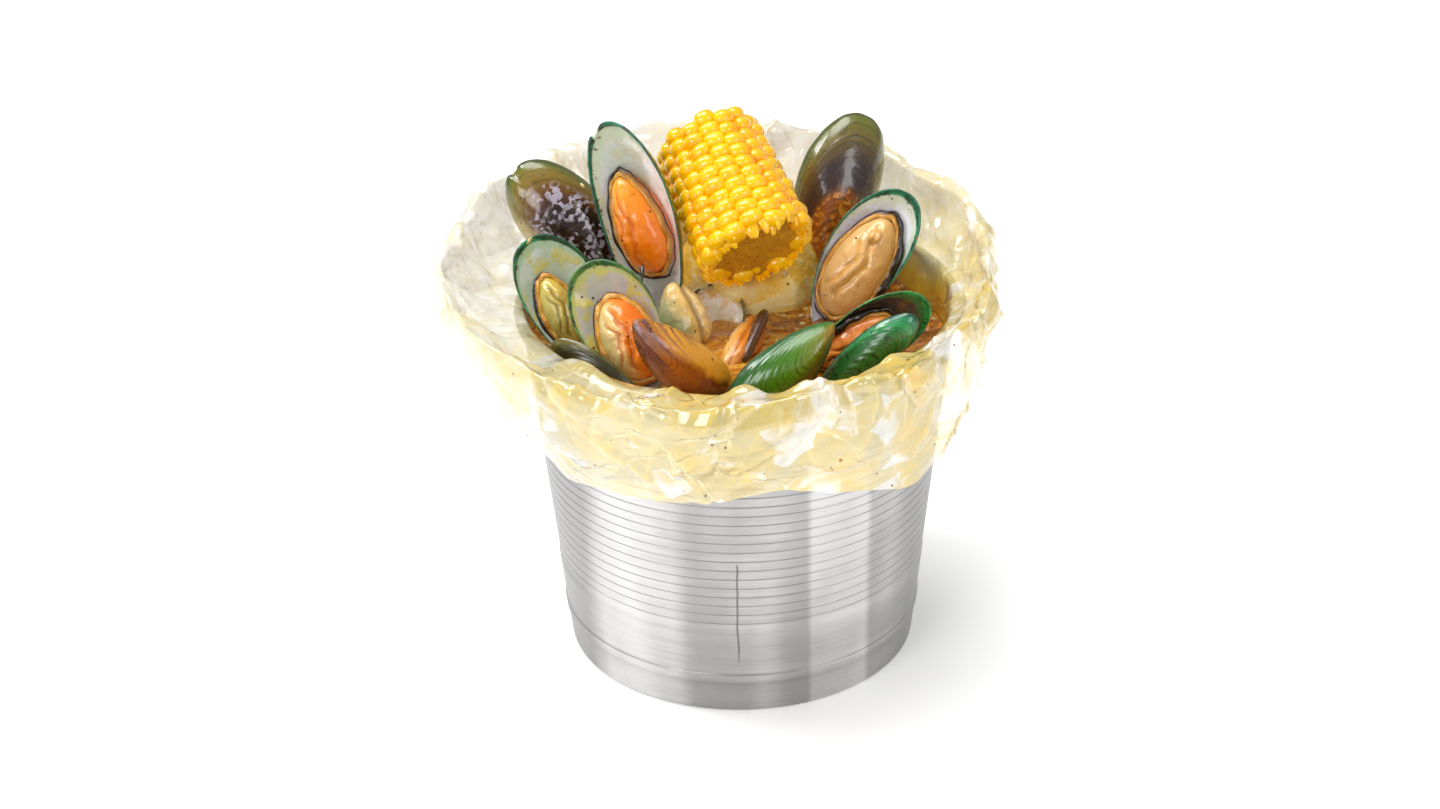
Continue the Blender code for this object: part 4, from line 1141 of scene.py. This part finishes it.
def scatterGroup():
    inputs = {"Target": "Object", "Density": "Float", "Seed": "Int", "Smallest": "Float", "Largest": "Float",
              "Flatness": "Float", "Length": "Float", "Material": "Material"}
    g = Group("scatteredBits", inputs)
    target = g.get("GeometryNodeObjectInfo", {"Object": g.given("Target")}, "Geometry")
    allowed = g.get("GeometryNodeInputNamedAttribute", {"Name": "speckled"}, data_type="FLOAT")
    sockets = {"Mesh": target, "Density": allowed * g.given("Density"), "Seed": g.given("Seed")}
    spread = g.node("GeometryNodeDistributePointsOnFaces", sockets, distribute_method="RANDOM")
    points, facing = (Value(g, spread.outputs[key]) for key in ("Points", "Rotation"))
    spin = g.vector(z=g.draw(0.0, 2 * pi, 1))
    turned = g.get("FunctionNodeRotateRotation", {0: facing, 1: spin}, rotation_space="LOCAL")
    size = g.draw(g.given("Smallest"), g.given("Largest"), 2)
    bit = g.get("GeometryNodeMeshIcoSphere", {"Radius": 0.5, "Subdivisions": 1})
    return g.close(points, bit, turned, g.vector(size * g.given("Length"), size, size * g.given("Flatness")))


def joined(pieces, name):
    first = pieces[0]
    with bpy.context.temp_override(active_object=first, selected_editable_objects=pieces, object=first):
        bpy.ops.object.join()
    first.name = name
    first.data.name = name
    return first


def makeBits():
    group = scatterGroup()
    targets = [("film", bag), ("sauce", pool), ("potato", spud)]
    targets += [("shells", piece) for piece in [*valves.values(), *shut]]
    targets += [("meats", piece) for piece in flesh]
    for name, bit in bits.items():
        smallest, largest, flatness, length = bit["size"]
        values = {"Smallest": smallest * mm, "Largest": largest * mm, "Flatness": flatness, "Length": length,
                  "Material": bitFinish(name + "Finish", *bit["finish"])}
        made = []
        for seed, (kind, target) in enumerate(targets):
            spread = {"Target": target, "Density": float(bit["on"][kind]), "Seed": seed + len(name)}
            made.append(group.run(name + str(seed), {**values, **spread}))
        piece = declare(joined(made, name), bit["slot"])
        print(name, len(piece.data.polygons), "faces")


makeBits()


# stage, light and camera

view = {
    "tilt": 0.489190, "roll": -0.0165, "target": (-8.95, 0.0, 116.08), "distance": 1400.0, "focal": 3007.3,
    "imageWidth": 1440, "sensor": 36.0,
}
studio = {"world": 0.33, "floor": "fafafa", "floorGlow": 0.28, "floorHalf": 9000, "floorDrop": 0.4}
lamps = {  # kind, strength, place and aim in metres, and a panel's size or the sun's angle
    "softSun": ("SUN", 2.1, (-0.25, 0.1, 1.5), (0, 0, 0), 40),
    "keyPanel": ("AREA", 5.0, (-0.75, 0.15, 1.05), (0, 0, 0.17), (0.35, 0.35)),
    "frontPanel": ("AREA", 6.0, (-0.7, -1.1, 0.75), (0, 0, 0.17), (0.6, 0.6)),
    "fillPanel": ("AREA", 3.0, (0.8, -0.9, 0.8), (0, 0, 0.1), (0.3, 0.8)),
}


def makeStage():
    d, mesh = studio, bpy.data.meshes.new("studioFloor")
    half, low = d["floorHalf"] * mm, -d["floorDrop"] * mm
    corners = [(x * half, y * half, low) for x, y in ((-1, -1), (1, -1), (1, 1), (-1, 1))]
    mesh.from_pydata(corners, [], [(0, 1, 2, 3)])
    floor = addObject("studioFloor", mesh)
    m = Finish("paleFloor", color=rgb(d["floor"]), rough=0.7, glowColor=(1, 1, 1, 1), glow=d["floorGlow"])
    mesh.materials.append(m.material)


def makeLamp(name, kind, energy, place, aim, size):
    data = bpy.data.lights.new(name, kind)
    data.energy = energy
    if kind == "SUN":
        data.angle = radians(size)
    else:
        data.shape = "RECTANGLE"
        data.size, data.size_y = size
    lamp = addObject(name, data)
    lamp.location = place
    lamp.rotation_euler = (Vector(aim) - Vector(place)).to_track_quat("-Z", "Y").to_euler()


def makeCamera():
    d = view
    c, s = cos(d["tilt"]), sin(d["tilt"])
    right, up, back = Vector((1, 0, 0)), Vector((0, s, c)), Vector((0, -c, s))
    c, s = cos(d["roll"]), sin(d["roll"])
    turned = Matrix((c * right + s * up, c * up - s * right, back)).transposed().to_4x4()
    turned.translation = (Vector(d["target"]) + back * d["distance"]) * mm
    data = bpy.data.cameras.new("photoCamera")
    data.sensor_width = d["sensor"]
    data.lens = d["focal"] * d["sensor"] / d["imageWidth"]
    camera = addObject("photoCamera", data)
    camera.matrix_world = turned
    bpy.context.scene.camera = camera


def makeWorld():
    world = bpy.data.worlds.new("studioWorld")
    bpy.context.scene.world = world
    world.use_nodes = True
    sky = world.node_tree.nodes["Background"]
    sky.inputs["Color"].default_value = (1, 1, 1, 1)
    sky.inputs["Strength"].default_value = studio["world"]
    bpy.context.scene.view_settings.view_transform = "Standard"


makeStage()
for name, lamp in lamps.items():
    makeLamp(name, *lamp)
makeCamera()
makeWorld()
print("stage made")
